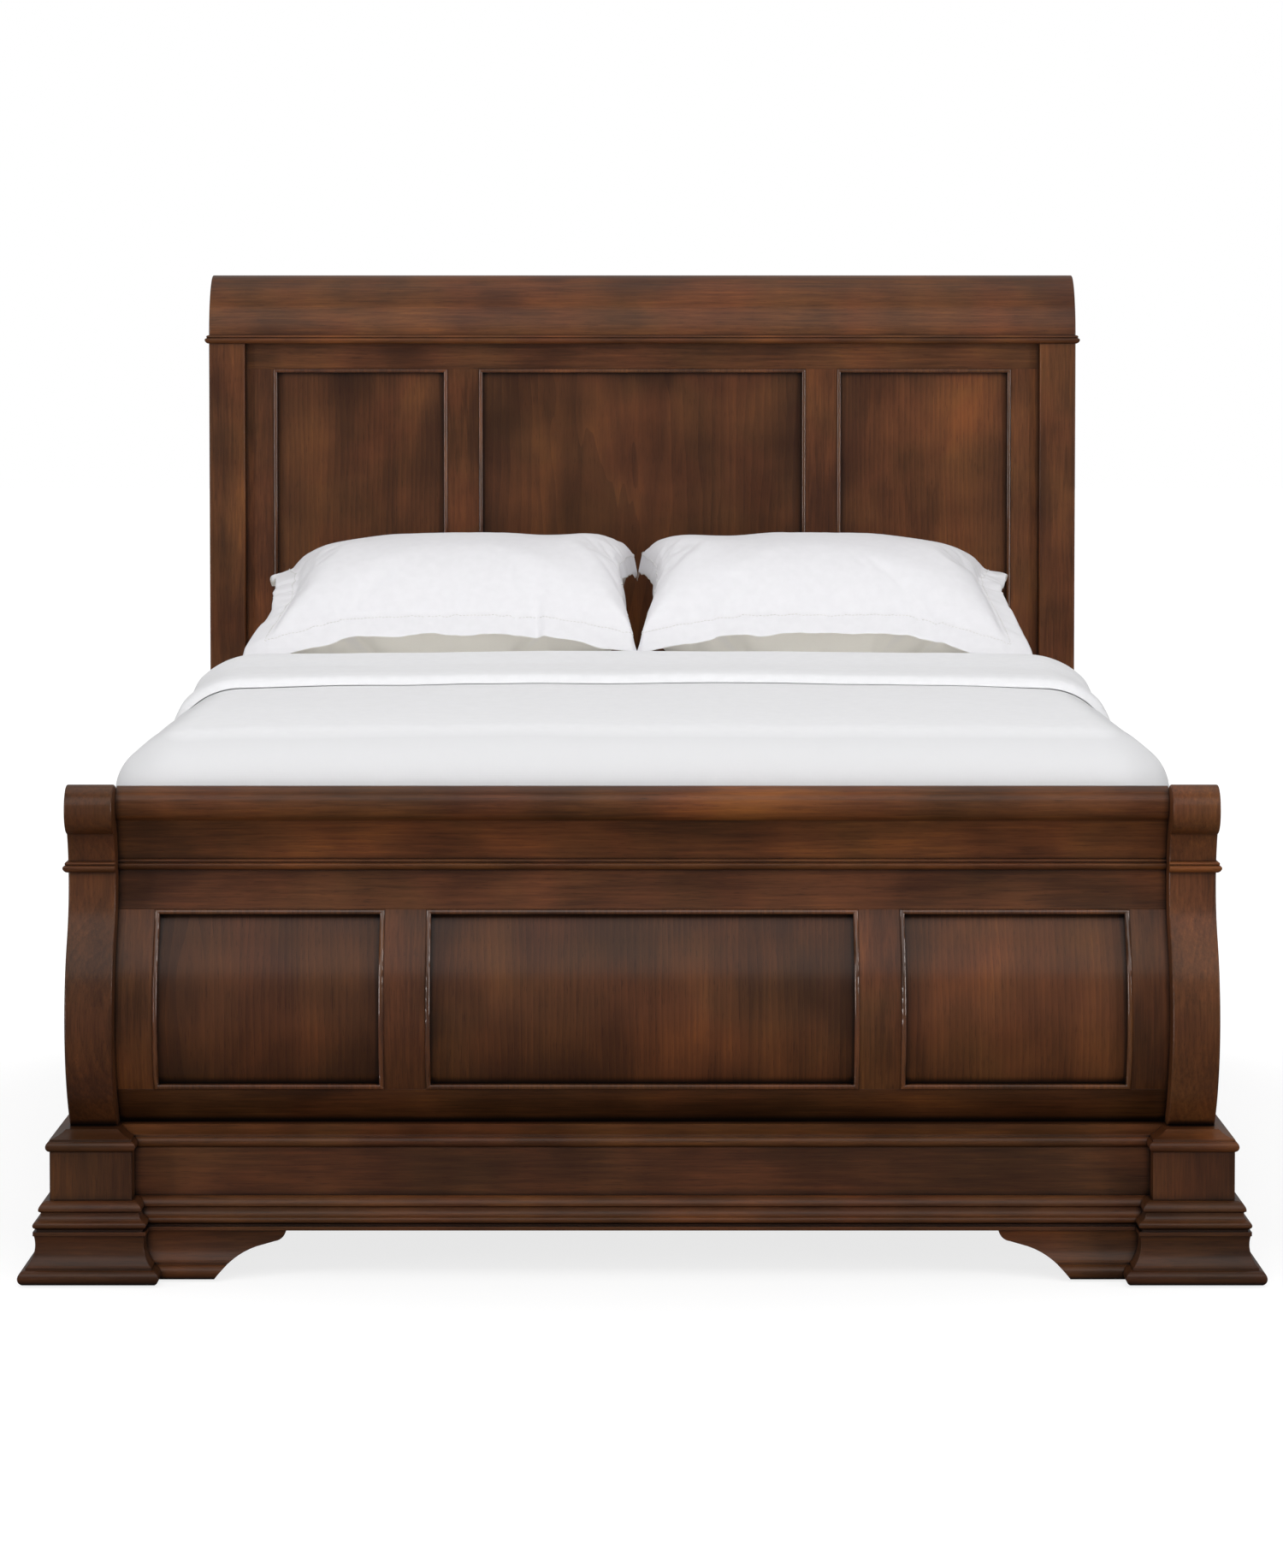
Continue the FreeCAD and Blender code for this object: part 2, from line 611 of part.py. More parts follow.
def rail_fittings():
    """One corner: hook plate let into the rail's end, slotted plate let into the post, and screws.

    Returns the two plates, the room that the post needs for them, and the screws."""
    x, z = RAIL_IN + RAIL_T / 2, (RAIL_LOW + RAIL_HIGH) / 2
    half, low, high = PLATE_W / 2, z - PLATE_H / 2, z + PLATE_H / 2
    back = HEAD_Y + PLATE_T
    hook_plate = box(x - half, x + half, HEAD_Y - PLATE_T, HEAD_Y, low, high)
    slot_plate = box(x - half, x + half, HEAD_Y, back, low, high)
    room = [slot_plate]
    for dz in HOOK_ZS:
        h, y = z + dz, back + 0.4
        loop = [(HEAD_Y, h - 2), (y, h - 2), (y, h - 11), (y + 7, h - 11), (y + 9, h - 7), (y + 9, h + 9),
                (y + 5, h + 13), (HEAD_Y, h + 13), (HEAD_Y, h - 2)]
        blade = Part.Face(Part.makePolygon([V(x - HOOK_T / 2, a, b) for a, b in loop]))
        hook_plate = hook_plate.fuse(blade.extrude(V(HOOK_T, 0, 0)))
        slot_plate = slot_plate.cut(box(x - 2.2, x + 2.2, HEAD_Y, back, h - 2.6, h + 24))
        room.append(box(x - 3.4, x + 3.4, back, back + 14, h - 14, h + 26))
    screws = [wood_screw(V(x, HEAD_Y, z + dz), V(0, 1, 0), 28.0) for dz in POST_SCREW_ZS]
    screws += [wood_screw(V(x, HEAD_Y - PLATE_T, z + dz), V(0, -1, 0), 28.0, sunk=PLATE_T)
               for dz in RAIL_SCREW_ZS]
    return hook_plate.removeSplitter(), slot_plate, room, screws


def wood_screw(head_at, way, length, sunk=0.0, r=1.9, head_r=3.8, head_h=2.4):
    """Countersunk screw whose flat head is flush at head_at, plus sunk against the way."""
    start = head_at - way * sunk
    head = Part.makeCone(head_r, r, head_h, start, way)
    shank = Part.makeCylinder(r, length - head_h - 4, start + way * head_h, way)
    tip = Part.makeCone(r, 0.4, 4, start + way * (length - 4), way)
    return head.fuse(shank).fuse(tip)


def side_rails():
    """Rails with a plate at each end, ledgers, and the plates' room in the posts. Returns the screws."""
    hook_plate, slot_plate, corner_room, corner_screws = rail_fittings()
    hooks, slots = at_four_corners(hook_plate), at_four_corners(slot_plate)
    room = [r for one in corner_room for r in at_four_corners(one)]
    screws = [s for one in corner_screws for s in at_four_corners(one)]
    rail = box(RAIL_IN, RAIL_IN + RAIL_T, RAIL_FOOT_Y, HEAD_Y, RAIL_LOW, RAIL_HIGH)
    rail = eased(rail, lambda box: box.ZMin > RAIL_HIGH - 1 and box.YLength > 100, 5.0)
    keep_pair("side_rail", cut_all(rail, hooks + screws))
    y0, y1 = RAIL_FOOT_Y + 12, HEAD_Y - 12
    ledger = box(RAIL_IN - LEDGER_W, RAIL_IN, y0, y1, RAIL_LOW, RAIL_LOW + LEDGER_H)
    keep_group("slat_ledgers", ledger)
    keep("rail_hook_plates", cut_all(pieces(hooks), screws))
    keep("post_slot_plates", cut_all(pieces(slots), screws))
    for name in ("headboard_post", "footboard_post"):
        for side in ("_left", "_right"):
            NODES[name + side] = cut_all(NODES[name + side], room + screws)
    return screws


# ---------------------------------------------------------------- slats and centre legs
def slat_y(i):
    return NECK_Y + SLAT_FIRST + i * SLAT_PITCH


def slats():
    """Slats screwed to the ledgers, and to the centre legs under them. Returns the screws."""
    top, down = RAIL_LOW + LEDGER_H + SLAT_T, V(0, 0, -1)
    reach = RAIL_IN - 3
    screws = []
    for i in range(SLAT_COUNT):
        y = slat_y(i)
        slat = box(-reach, reach, y - SLAT_W / 2, y + SLAT_W / 2, top - SLAT_T, top)
        for x in (LEDGER_W / 2 - RAIL_IN, RAIL_IN - LEDGER_W / 2):
            screws.append(wood_screw(V(x, y, top), down, 36.0))
        for x in (-LEG_SCREW_X, LEG_SCREW_X):
            screws.append(wood_screw(V(x, y, top), down, 60.0, r=2.4, head_r=4.6))
        keep("slat_%d" % (i + 1), cut_all(slat, screws[-4:]))
    NODES["slat_ledgers"] = cut_all(NODES["slat_ledgers"], screws)
    centre_legs(top - SLAT_T, screws)
    return screws


def centre_legs(top, screws):
    """Square legs under the slats, each with a threaded insert, a screw stem and a nylon pad."""
    up = V(0, 0, 1)
    legs, inserts = [], []
    for i in range(SLAT_COUNT):
        y = slat_y(i)

        def rod(r, z, height):
            return Part.makeCylinder(r, height, V(0, y, z), up)

        leg = box(-LEG_W / 2, LEG_W / 2, y - LEG_W / 2, y + LEG_W / 2, LEG_LOW, top)
        leg = eased(leg, lambda box: box.ZLength > 100, 4.0)
        barrel = rod(INSERT_R, LEG_LOW, INSERT_H)
        legs.append(cut_all(leg, [barrel, rod(STEM_R + 0.6, LEG_LOW, STEM_H + 15)] + screws))
        insert = rod(2 * INSERT_R, LEG_LOW - INSERT_RIM, INSERT_RIM).fuse(barrel)
        inserts.append(insert.cut(rod(NUT_BORE_R, 0, 2 * LEG_LOW)))
        stem = rod(STEM_R, PAD_H - PAD_SOCKET, STEM_H)
        corners = [V(HEX_R * math.cos(k * math.pi / 3), y + HEX_R * math.sin(k * math.pi / 3), PAD_H + 0.3)
                   for k in range(7)]
        collar = Part.Face(Part.makePolygon(corners)).extrude(V(0, 0, HEX_H))
        keep("leveller_stem_%d" % (i + 1), stem.fuse(collar).removeSplitter())
        pad = rod(PAD_R, 0, PAD_H)
        rim = [e for e in pad.Edges if len(e.Vertexes) == 1 and e.BoundBox.ZMin > PAD_H / 2]
        pad = pad.makeFillet(2.5, rim).cut(rod(NUT_BORE_R, PAD_H - PAD_SOCKET, PAD_H))
        keep("leveller_pad_%d" % (i + 1), pad)
    keep("centre_legs", pieces(legs))
    keep("leveller_inserts", pieces(inserts))


def glides():
    spots = []
    mid = (DIE_IN + DIE_OUT) / 2
    for sx in (-1, 1):
        for y in (NECK_Y - DIE_FWD + 30, NECK_Y - DIE_FWD + DIE_DEPTH - 30):
            spots.append((sx * mid, y))
        spots.append((sx * (POST_INNER + POST_OUTER) / 2, HEAD_Y + HEAD_POST_D / 2))
    keep("floor_glides", pieces([Part.makeCylinder(16, GLIDE, V(x, y, 0)) for x, y in spots]))


# ---------------------------------------------------------------- bedding
def soft_block(x, y0, y1, z0, z1, upright, flat):
    """A block with rounded upright corners and rounded top and bottom edges."""
    body = box(-x, x, y0, y1, z0, z1)
    body = eased(body, lambda box: box.ZLength > 10, upright)
    return eased(body, lambda box: box.ZLength < 0.1, flat)


def bedding():
    z = RAIL_LOW + LEDGER_H + SLAT_T
    head = HEAD_Y + HEAD_TUCK
    keep("foundation", soft_block(BOX_W / 2, head - BOX_L, head, z, z + BOX_H, 40, 10))
    z += BOX_H
    foot = head - MATTRESS_L
    keep("mattress", soft_block(MATTRESS_W / 2, foot, head, z, z + MATTRESS_H, 70, 45))
    duvet(z, foot)
    turndown()
    pillow(z + MATTRESS_H)


def across_bed(spec, y0, y1):
    """A cover between y0 and y1. spec is the right half of its section, in X and Z, from X 0 to X 0."""
    half = solid_of(outline(spec, lambda x, z: V(x, y0, z)), V(0, y1 - y0, 0))
    return half.fuse(mirrored_x(half)).removeSplitter()


def duvet(z, foot):
    """Quilted cover over the mattress: rolls over three edges, tucked inside the rails and footboard."""
    end, start = foot - DUVET_END_T, HEAD_Y - DUVET_FOLD
    over, bed_top, side = DUVET_OUT - 90, z + MATTRESS_H + 0.5, MATTRESS_W / 2 + 0.5
    spec = [(0.0, DUVET_TOP), (over, DUVET_TOP - 6),
            ("arc", (DUVET_OUT - 24, DUVET_TOP - 28), (DUVET_OUT, DUVET_TOP - 90)),
            (DUVET_TUCK, z + 60), (DUVET_TUCK, DUVET_LOW), (side, DUVET_LOW),
            (side, DUVET_TOP - 60), (over, bed_top), (0.0, bed_top), (0.0, DUVET_TOP)]
    # the foot end: a wall between the mattress and the footboard, rounded over at the top
    x = DUVET_TUCK - 12
    wall = box(-x, x, end, foot - 1, DUVET_LOW, DUVET_TOP)
    shell = across_bed(spec, end, start).fuse(wall).cut(NODES["mattress"])
    run, drop = 150.0, 105.0
    corner = (end - 1, DUVET_TOP + 1)
    trim = [corner, (end - 1, DUVET_TOP - drop), (end, DUVET_TOP - drop),
            ("arc", (end + run * 0.27, DUVET_TOP - drop * 0.32), (end + run, DUVET_TOP)),
            (end + run, DUVET_TOP + 1), corner]
    waste = solid_of(outline(trim, lambda y, h: V(-POST_OUTER, y, h)), V(2 * POST_OUTER, 0, 0))
    keep("duvet", largest(shell.cut(waste)))


def turndown():
    """The flap of the duvet that is turned down over it."""
    over, top, out = DUVET_OUT - 90, DUVET_TOP + FLAP_T, DUVET_OUT + 8
    spec = [(0.0, top), (over, top - 6), ("arc", (out - 24, top - 34), (out, DUVET_TOP - 88)),
            (DUVET_OUT + 0.5, DUVET_TOP - 96),
            ("arc", (DUVET_OUT - 23, DUVET_TOP - 27.5), (over, DUVET_TOP - 5.5)),
            (0.0, DUVET_TOP + 0.5), (0.0, top)]
    flap = across_bed(spec, HEAD_Y - FLAP_EDGE, HEAD_Y - DUVET_FOLD)
    keep("duvet_turndown", largest(flap.cut(NODES["duvet"])))


def pillow(rest_z):
    """Two shams, plain lens-shaped blocks that lean back towards the headboard."""
    body = soft_block(PILLOW_W / 2, -PILLOW_L / 2, PILLOW_L / 2, -PILLOW_T / 2, PILLOW_T / 2, 90, 78)
    body.rotate(V(0, 0, 0), V(1, 0, 0), PILLOW_LEAN)
    lift = rest_z + 1 - body.BoundBox.ZMin
    body.translate(V(PILLOW_X, HEAD_Y - PILLOW_BACK, lift))
    keep_pair("pillow", body)


# ---------------------------------------------------------------- build
def build():
    keep_pair("footboard_post", foot_post())
    footboard()
    headboard()
    beads()
    plinths()
    base()
    keep("wood_screws", pieces(side_rails() + slats()))
    glides()
    bedding()
    for name in sorted(NODES):
        shape = NODES[name]
        solids = shape.Solids
        sound = all(s.isValid() and s.isClosed() and s.Volume > 0 for s in solids)
        if not solids or not sound:
            print("CHECK", name, len(solids), shape.isValid())
        shape = solids[0] if len(solids) == 1 else Part.makeCompound(solids)
        shape.exportStep("parts/%s.step" % name)
    print(len(NODES), "nodes")
    whole = Part.makeCompound(list(NODES.values())).BoundBox
    print("box", [round(v, 1) for v in (whole.XMin, whole.XMax, whole.YMin, whole.YMax, whole.ZMin, whole.ZMax)])


build()
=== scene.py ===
import math

import bmesh
import bpy
import numpy as np
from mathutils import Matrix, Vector, noise


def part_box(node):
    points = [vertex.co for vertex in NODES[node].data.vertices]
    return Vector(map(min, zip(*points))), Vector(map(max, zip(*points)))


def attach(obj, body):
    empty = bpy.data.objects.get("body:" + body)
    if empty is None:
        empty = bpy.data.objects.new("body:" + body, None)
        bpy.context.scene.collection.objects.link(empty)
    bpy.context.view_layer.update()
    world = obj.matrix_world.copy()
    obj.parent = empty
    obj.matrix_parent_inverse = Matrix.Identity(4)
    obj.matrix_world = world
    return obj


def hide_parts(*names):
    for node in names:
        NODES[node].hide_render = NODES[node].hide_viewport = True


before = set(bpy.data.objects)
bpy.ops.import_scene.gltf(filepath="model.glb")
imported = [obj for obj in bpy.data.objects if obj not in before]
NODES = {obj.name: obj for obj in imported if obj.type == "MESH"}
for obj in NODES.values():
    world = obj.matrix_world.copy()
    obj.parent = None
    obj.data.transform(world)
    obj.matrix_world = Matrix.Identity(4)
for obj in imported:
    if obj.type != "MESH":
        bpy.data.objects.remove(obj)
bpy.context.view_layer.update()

# Queen sleigh bed in stained cherry, made up in white percale. Metres, +Z up, the head of the bed at +Y.

BED = "bed"


# ---------------------------------------------------------------- helpers
def linear(hex_colour, gain=1.0):
    """An sRGB hex colour as linear RGBA, lightened or darkened by gain."""
    parts = [int(hex_colour[i:i + 2], 16) / 255 for i in (1, 3, 5)]
    light = [c / 12.92 if c <= 0.04045 else ((c + 0.055) / 1.055) ** 2.4 for c in parts]
    return (*[c * gain for c in light], 1.0)


def add(tree, kind, inputs=None, **settings):
    """Adds a node. inputs fills its sockets with values, or with links from other nodes' sockets."""
    node = tree.nodes.new(kind)
    for key, value in settings.items():
        setattr(node, key, value)
    for key, value in (inputs or {}).items():
        if isinstance(value, bpy.types.NodeSocket):
            tree.links.new(value, node.inputs[key])
        else:
            node.inputs[key].default_value = value
    return node


def new_material(name):
    material = bpy.data.materials.new(name)
    material.use_nodes = True
    material.node_tree.nodes.clear()
    return material, material.node_tree


def smooth_step(t):
    t = np.clip(t, 0.0, 1.0)
    return t * t * (3 - 2 * t)


def quarter_round(t):
    """Rises from 0 to 1 along a quarter of a circle."""
    return np.sqrt(np.clip(1 - (1 - np.clip(t, 0, 1)) ** 2, 0, 1))


# ---------------------------------------------------------------- materials
# Cherry, face-sawn and stained red-brown, satin lacquer over it: warm mottled brown whose amber patches glow,
# thin bright lines on every edge, and near-black lines in every joint and corner, part dark glaze, part
# painted shade.
STAIN = ("#2c180f", "#452817", "#5f3820", "#844f28")
# the near-black of corners and joints: partly dark glaze, partly painted shade
GLAZE_AND_SHADE = "#0d0604"
# Poplar, planed and left bare: pale, dull, with faint green-brown streaks.
POPLAR = ("#8f7a55", "#b59d74", "#c9b48b", "#d8c7a3")
# the painted shade in the corners of the bare poplar, which has no glaze
POPLAR_SHADE = "#6b5a3e"
GRAIN_TURN = {"x": (0.0, math.pi / 2, 0.0), "y": (math.pi / 2, 0.0, 0.0), "z": (0.0, 0.0, 0.0)}
STAIN_STOPS = (0.12, 0.40, 0.62, 0.92)
TINTS = ((1.03, 0.92, 0.78, 1.0), (0.98, 1.01, 0.80, 1.0))
# how far each pattern moves the colour along the stain's four stops, and where the colour starts
BLOTCH_SHARE, CLOUD_SHARE, PIT_SHARE, START = 0.68, 0.60, -0.11, -0.12
# weight and roughness of the top coat on boards, on veneered panels, and on the rubbed-up panel mouldings
BOARD_COAT, PANEL_COAT, MOULDING_COAT = (0.16, 0.22), (0.14, 0.22), (0.60, 0.10)
# turns in the phase of a wave texture at scale 1, for each metre along an axis, and along a diagonal one
AXIS_BANDS, DIAGONAL_BANDS = 20, 10


def wood(name, grain, seed, gain=1.0, figure=0.06, fleck=0.46, darker_border_box=None, bare=False, bent=False,
         polish=PANEL_COAT):
    """A board with its grain along one axis. figure is the contrast of its growth rings, fleck that of
    its fine streaks, and burnish the box of a panel that is drawn darker towards its borders. A bent board
    keeps its figure along its curve. polish is the weight and the roughness of its top coat."""
    material, tree = new_material(name)
    place = add(tree, "ShaderNodeTexCoord").outputs["Object"]
    flat = (1, 0.12, 1) if bent else (1, 1, 1)
    shift = (0.31 * seed % 1.7, 0.083 * seed % 0.23 + 0.05, 0.73 * seed % 3.1)
    log = add(tree, "ShaderNodeMapping", {"Vector": place, "Rotation": GRAIN_TURN[grain],
                                          "Location": shift, "Scale": flat}).outputs["Vector"]
    fibre = add(tree, "ShaderNodeMapping", {"Vector": log, "Scale": (1, 1, 0.05)}).outputs["Vector"]
    tilted = add(tree, "ShaderNodeMapping",
                 {"Vector": log, "Rotation": (0.045, 0.02, 0), "Scale": (1, 1, 0.16)}).outputs["Vector"]
    # mottling 60 to 150 mm across, where the stain took unevenly
    blotch = add(tree, "ShaderNodeTexNoise", {"Vector": tilted, "Scale": 11, "Detail": 4,
                                              "Roughness": 0.55, "Distortion": 0.7})
    cloud = add(tree, "ShaderNodeTexNoise", {"Vector": log, "Scale": 7, "Detail": 2, "Roughness": 0.45})
    # streaks 4 mm wide and 80 mm long
    streak = add(tree, "ShaderNodeTexNoise", {"Vector": fibre, "Scale": 240, "Detail": 4, "Roughness": 0.62})
    # pores are 0.1 mm wide; they are drawn 1 mm wide so that they show
    pore = add(tree, "ShaderNodeTexNoise", {"Vector": fibre, "Scale": 900, "Detail": 1, "Roughness": 0.5})
    pit = add(tree, "ShaderNodeMapRange", {"Value": pore.outputs["Fac"], "From Min": 0.40, "From Max": 0.30})
    # growth rings 9 mm apart, cut at a shallow angle so that they run to points
    rings = add(tree, "ShaderNodeTexWave",
                {"Vector": tilted, "Scale": 34, "Distortion": 13, "Detail": 3, "Detail Scale": 0.30,
                 "Detail Roughness": 0.5},
                wave_type="RINGS", rings_direction="Z", wave_profile="SAW")
    depth = None
    for source, share in ((blotch.outputs["Fac"], BLOTCH_SHARE), (cloud.outputs["Fac"], CLOUD_SHARE),
                          (streak.outputs["Fac"], fleck), (rings.outputs["Fac"], figure),
                          (pit.outputs["Result"], PIT_SHARE)):
        depth = add(tree, "ShaderNodeMath",
                    {0: source, 1: share, 2: depth if depth is not None else START - (fleck + figure) / 2},
                    operation="MULTIPLY_ADD").outputs[0]
    # the panel is drawn darker over the last 110 mm towards its borders, and a little lighter inside
    if darker_border_box:
        low, high = darker_border_box
        middle, half = (low + high) / 2, (high - low) / 2
        centred = add(tree, "ShaderNodeMapping", {"Vector": place, "Location": -middle})
        folded = add(tree, "ShaderNodeVectorMath", {0: centred.outputs[0]}, operation="ABSOLUTE")
        past = add(tree, "ShaderNodeVectorMath", {0: folded.outputs[0], 1: half}, operation="SUBTRACT")
        split = add(tree, "ShaderNodeSeparateXYZ", {0: past.outputs[0]})
        nearest = add(tree, "ShaderNodeMath", {0: split.outputs["X"], 1: split.outputs["Z"]},
                      operation="MAXIMUM")
        border_darkening = add(tree, "ShaderNodeMapRange",
                     {"Value": nearest.outputs[0], "From Min": -0.110, "From Max": -0.005,
                      "To Min": 0.02, "To Max": -0.07}, interpolation_type="SMOOTHSTEP")
        depth = add(tree, "ShaderNodeMath", {0: depth, 1: border_darkening.outputs[0]}).outputs[0]
    colours = add(tree, "ShaderNodeValToRGB", {"Fac": depth})
    ramp = colours.color_ramp
    palette = POPLAR if bare else STAIN
    ramp.elements[0].position, ramp.elements[1].position = STAIN_STOPS[0], STAIN_STOPS[3]
    for stop in STAIN_STOPS[1:3]:
        ramp.elements.new(stop)
    for element, colour in zip(ramp.elements, palette):
        element.color = linear(colour, gain)
    # the stain is redder in some places and more amber in others, 150 to 300 mm apart
    patch = add(tree, "ShaderNodeTexNoise", {"Vector": log, "Scale": 5.5, "Detail": 3, "Roughness": 0.5,
                                             "Distortion": 0.5})
    amber = add(tree, "ShaderNodeMapRange", {"Value": patch.outputs["Fac"], "From Min": 0.38,
                                             "From Max": 0.62})
    tint = add(tree, "ShaderNodeMix", {"Factor": amber.outputs["Result"], 6: TINTS[0], 7: TINTS[1]},
               data_type="RGBA")
    stained = add(tree, "ShaderNodeMix", {"Factor": 0.0 if bare else 1.0, 6: colours.outputs["Color"],
                                          7: tint.outputs[2]}, data_type="RGBA", blend_type="MULTIPLY")
    # painted shade, partly dark glaze: darker in corners and between parts, where ambient occlusion finds
    # them;
    # the bare poplar gets the painted shade alone
    corner = add(tree, "ShaderNodeAmbientOcclusion", {"Distance": 0.011}, samples=6)
    unoccluded = add(tree, "ShaderNodeMapRange", {"Value": corner.outputs["AO"], "From Min": 0.42,
                                             "From Max": 0.90})
    glazed_and_shaded = add(tree, "ShaderNodeMix",
                 {"Factor": unoccluded.outputs["Result"], 6: linear(POPLAR_SHADE if bare else GLAZE_AND_SHADE),
                  7: stained.outputs[2]}, data_type="RGBA")
    eased = add(tree, "ShaderNodeBevel", {"Radius": 0.0014}, samples=4)
    bump = add(tree, "ShaderNodeBump",
               {"Strength": 0.55 if bare else 0.16, "Distance": 0.0005, "Height": streak.outputs["Fac"],
                "Normal": eased.outputs["Normal"]})
    rough = (0.62, 0.75) if bare else (0.40, 0.50)
    shine = add(tree, "ShaderNodeMapRange", {"Value": cloud.outputs["Fac"], "From Min": 0.3, "From Max": 0.7,
                                             "To Min": rough[0], "To Max": rough[1]})
    shader = add(tree, "ShaderNodeBsdfPrincipled",
                 {"Base Color": glazed_and_shaded.outputs[2], "Roughness": shine.outputs["Result"],
                  "Specular IOR Level": 0.10, "Coat Weight": 0.0 if bare else polish[0],
                  "Coat Roughness": polish[1], "Normal": bump.outputs["Normal"],
                  "Coat Normal": eased.outputs["Normal"]})
    add(tree, "ShaderNodeOutputMaterial", {"Surface": shader.outputs[0]})
    return material


def percale(name, white, underside=None, shaded=False):
    """Plain-woven combed cotton, washed and ironed: matt, very white, with a soft bloom at the edges.
    underside is a paler colour painted on cloth that faces down, as painted light bounced up from below, and
    shaded cloth gets painted shade: it greys in hollows and on slopes."""
    material, tree = new_material(name)
    place = add(tree, "ShaderNodeTexCoord").outputs["Object"]
    # threads are 0.25 mm apart; they are drawn 1.6 mm apart so that they show
    thread = 2 * math.pi / 0.0016 / AXIS_BANDS
    weave = None
    for axis in "XYZ":
        wave = add(tree, "ShaderNodeTexWave", {"Vector": place, "Scale": thread, "Distortion": 1.2,
                                               "Detail": 1, "Detail Scale": 0.2},
                   wave_type="BANDS", bands_direction=axis)
        weave = add(tree, "ShaderNodeMath", {0: wave.outputs["Fac"], 1: weave if weave else 0.0}).outputs[0]
    slub = add(tree, "ShaderNodeTexNoise", {"Vector": place, "Scale": 60, "Detail": 3})
    crease = add(tree, "ShaderNodeTexNoise", {"Vector": place, "Scale": 9, "Detail": 4, "Roughness": 0.55,
                                              "Distortion": 0.4})
    tone = add(tree, "ShaderNodeMapRange", {"Value": slub.outputs["Fac"], "From Min": 0.3, "From Max": 0.7})
    colour = add(tree, "ShaderNodeMix", {"Factor": tone.outputs[0], 6: linear(white, 0.965),
                                         7: linear(white)}, data_type="RGBA").outputs[2]
    if shaded:
        # painted shade: the cloth greys softly near other things, as where it goes down behind the footboard
        hollow = add(tree, "ShaderNodeAmbientOcclusion", {"Distance": 0.40}, samples=8)
        grey = add(tree, "ShaderNodeMapRange", {"Value": hollow.outputs["AO"], "From Min": 0.62,
                                                "From Max": 0.97})
        colour = add(tree, "ShaderNodeMix", {"Factor": grey.outputs[0], 6: linear(white, 0.60), 7: colour},
                     data_type="RGBA").outputs[2]
        # painted shade: cloth that curves down is drawn a little greyer than the cloth on top
        hanging = add(tree, "ShaderNodeSeparateXYZ",
                      {0: add(tree, "ShaderNodeNewGeometry").outputs["Normal"]})
        level = add(tree, "ShaderNodeMapRange", {"Value": hanging.outputs["Z"], "From Min": 0.93,
                                                 "From Max": 0.997})
        colour = add(tree, "ShaderNodeMix", {"Factor": level.outputs[0], 6: linear(white, 0.82), 7: colour},
                     data_type="RGBA").outputs[2]
    if underside:
        # painted light: cloth that faces down is drawn a paler cream, standing for light bounced up from the
        # sheet
        facing = add(tree, "ShaderNodeSeparateXYZ",
                     {0: add(tree, "ShaderNodeNewGeometry").outputs["Normal"]})
        below = add(tree, "ShaderNodeMapRange", {"Value": facing.outputs["Z"], "From Min": 0.05,
                                                 "From Max": -0.35})
        colour = add(tree, "ShaderNodeMix", {"Factor": below.outputs[0], 6: colour, 7: linear(underside)},
                     data_type="RGBA").outputs[2]
    fine = add(tree, "ShaderNodeBump", {"Strength": 0.10, "Distance": 0.0004, "Height": weave})
    bump = add(tree, "ShaderNodeBump", {"Strength": 0.25, "Distance": 0.004, "Height": crease.outputs["Fac"],
                                        "Normal": fine.outputs["Normal"]})
    shader = add(tree, "ShaderNodeBsdfPrincipled",
                 {"Base Color": colour, "Roughness": 0.82, "Specular IOR Level": 0.2, "Sheen Weight": 0.15,
                  "Sheen Roughness": 0.4, "Normal": bump.outputs["Normal"]})
    add(tree, "ShaderNodeOutputMaterial", {"Surface": shader.outputs[0]})
    return material


def ticking(name):
    """Twill ticking with a woven stripe: off-white, dull, a thin grey-blue line every 80 mm."""
    material, tree = new_material(name)
    place = add(tree, "ShaderNodeTexCoord").outputs["Object"]
    upright = add(tree, "ShaderNodeMapping", {"Vector": place, "Scale": (1, 1, 0)}).outputs["Vector"]
    stripe = add(tree, "ShaderNodeTexWave",
                 {"Vector": upright, "Scale": 2 * math.pi / 0.080 / DIAGONAL_BANDS},
                 wave_type="BANDS", bands_direction="DIAGONAL")
    line = add(tree, "ShaderNodeMapRange", {"Value": stripe.outputs["Fac"], "From Min": 0.90,
                                            "From Max": 0.96})
    colour = add(tree, "ShaderNodeMix", {"Factor": line.outputs[0], 6: linear("#dcd9d2"),
                                         7: linear("#8b93a3")}, data_type="RGBA")
    # twill ribs are 0.5 mm apart; they are drawn 5 mm apart so that they show
    rib = add(tree, "ShaderNodeTexWave",
              {"Vector": place, "Scale": 2 * math.pi / 0.005 / DIAGONAL_BANDS, "Distortion": 2},
              wave_type="BANDS", bands_direction="DIAGONAL")
    bump = add(tree, "ShaderNodeBump", {"Strength": 0.25, "Distance": 0.0006, "Height": rib.outputs["Fac"]})
    shader = add(tree, "ShaderNodeBsdfPrincipled",
                 {"Base Color": colour.outputs[2], "Roughness": 0.88, "Normal": bump.outputs["Normal"]})
    add(tree, "ShaderNodeOutputMaterial", {"Surface": shader.outputs[0]})
    return material


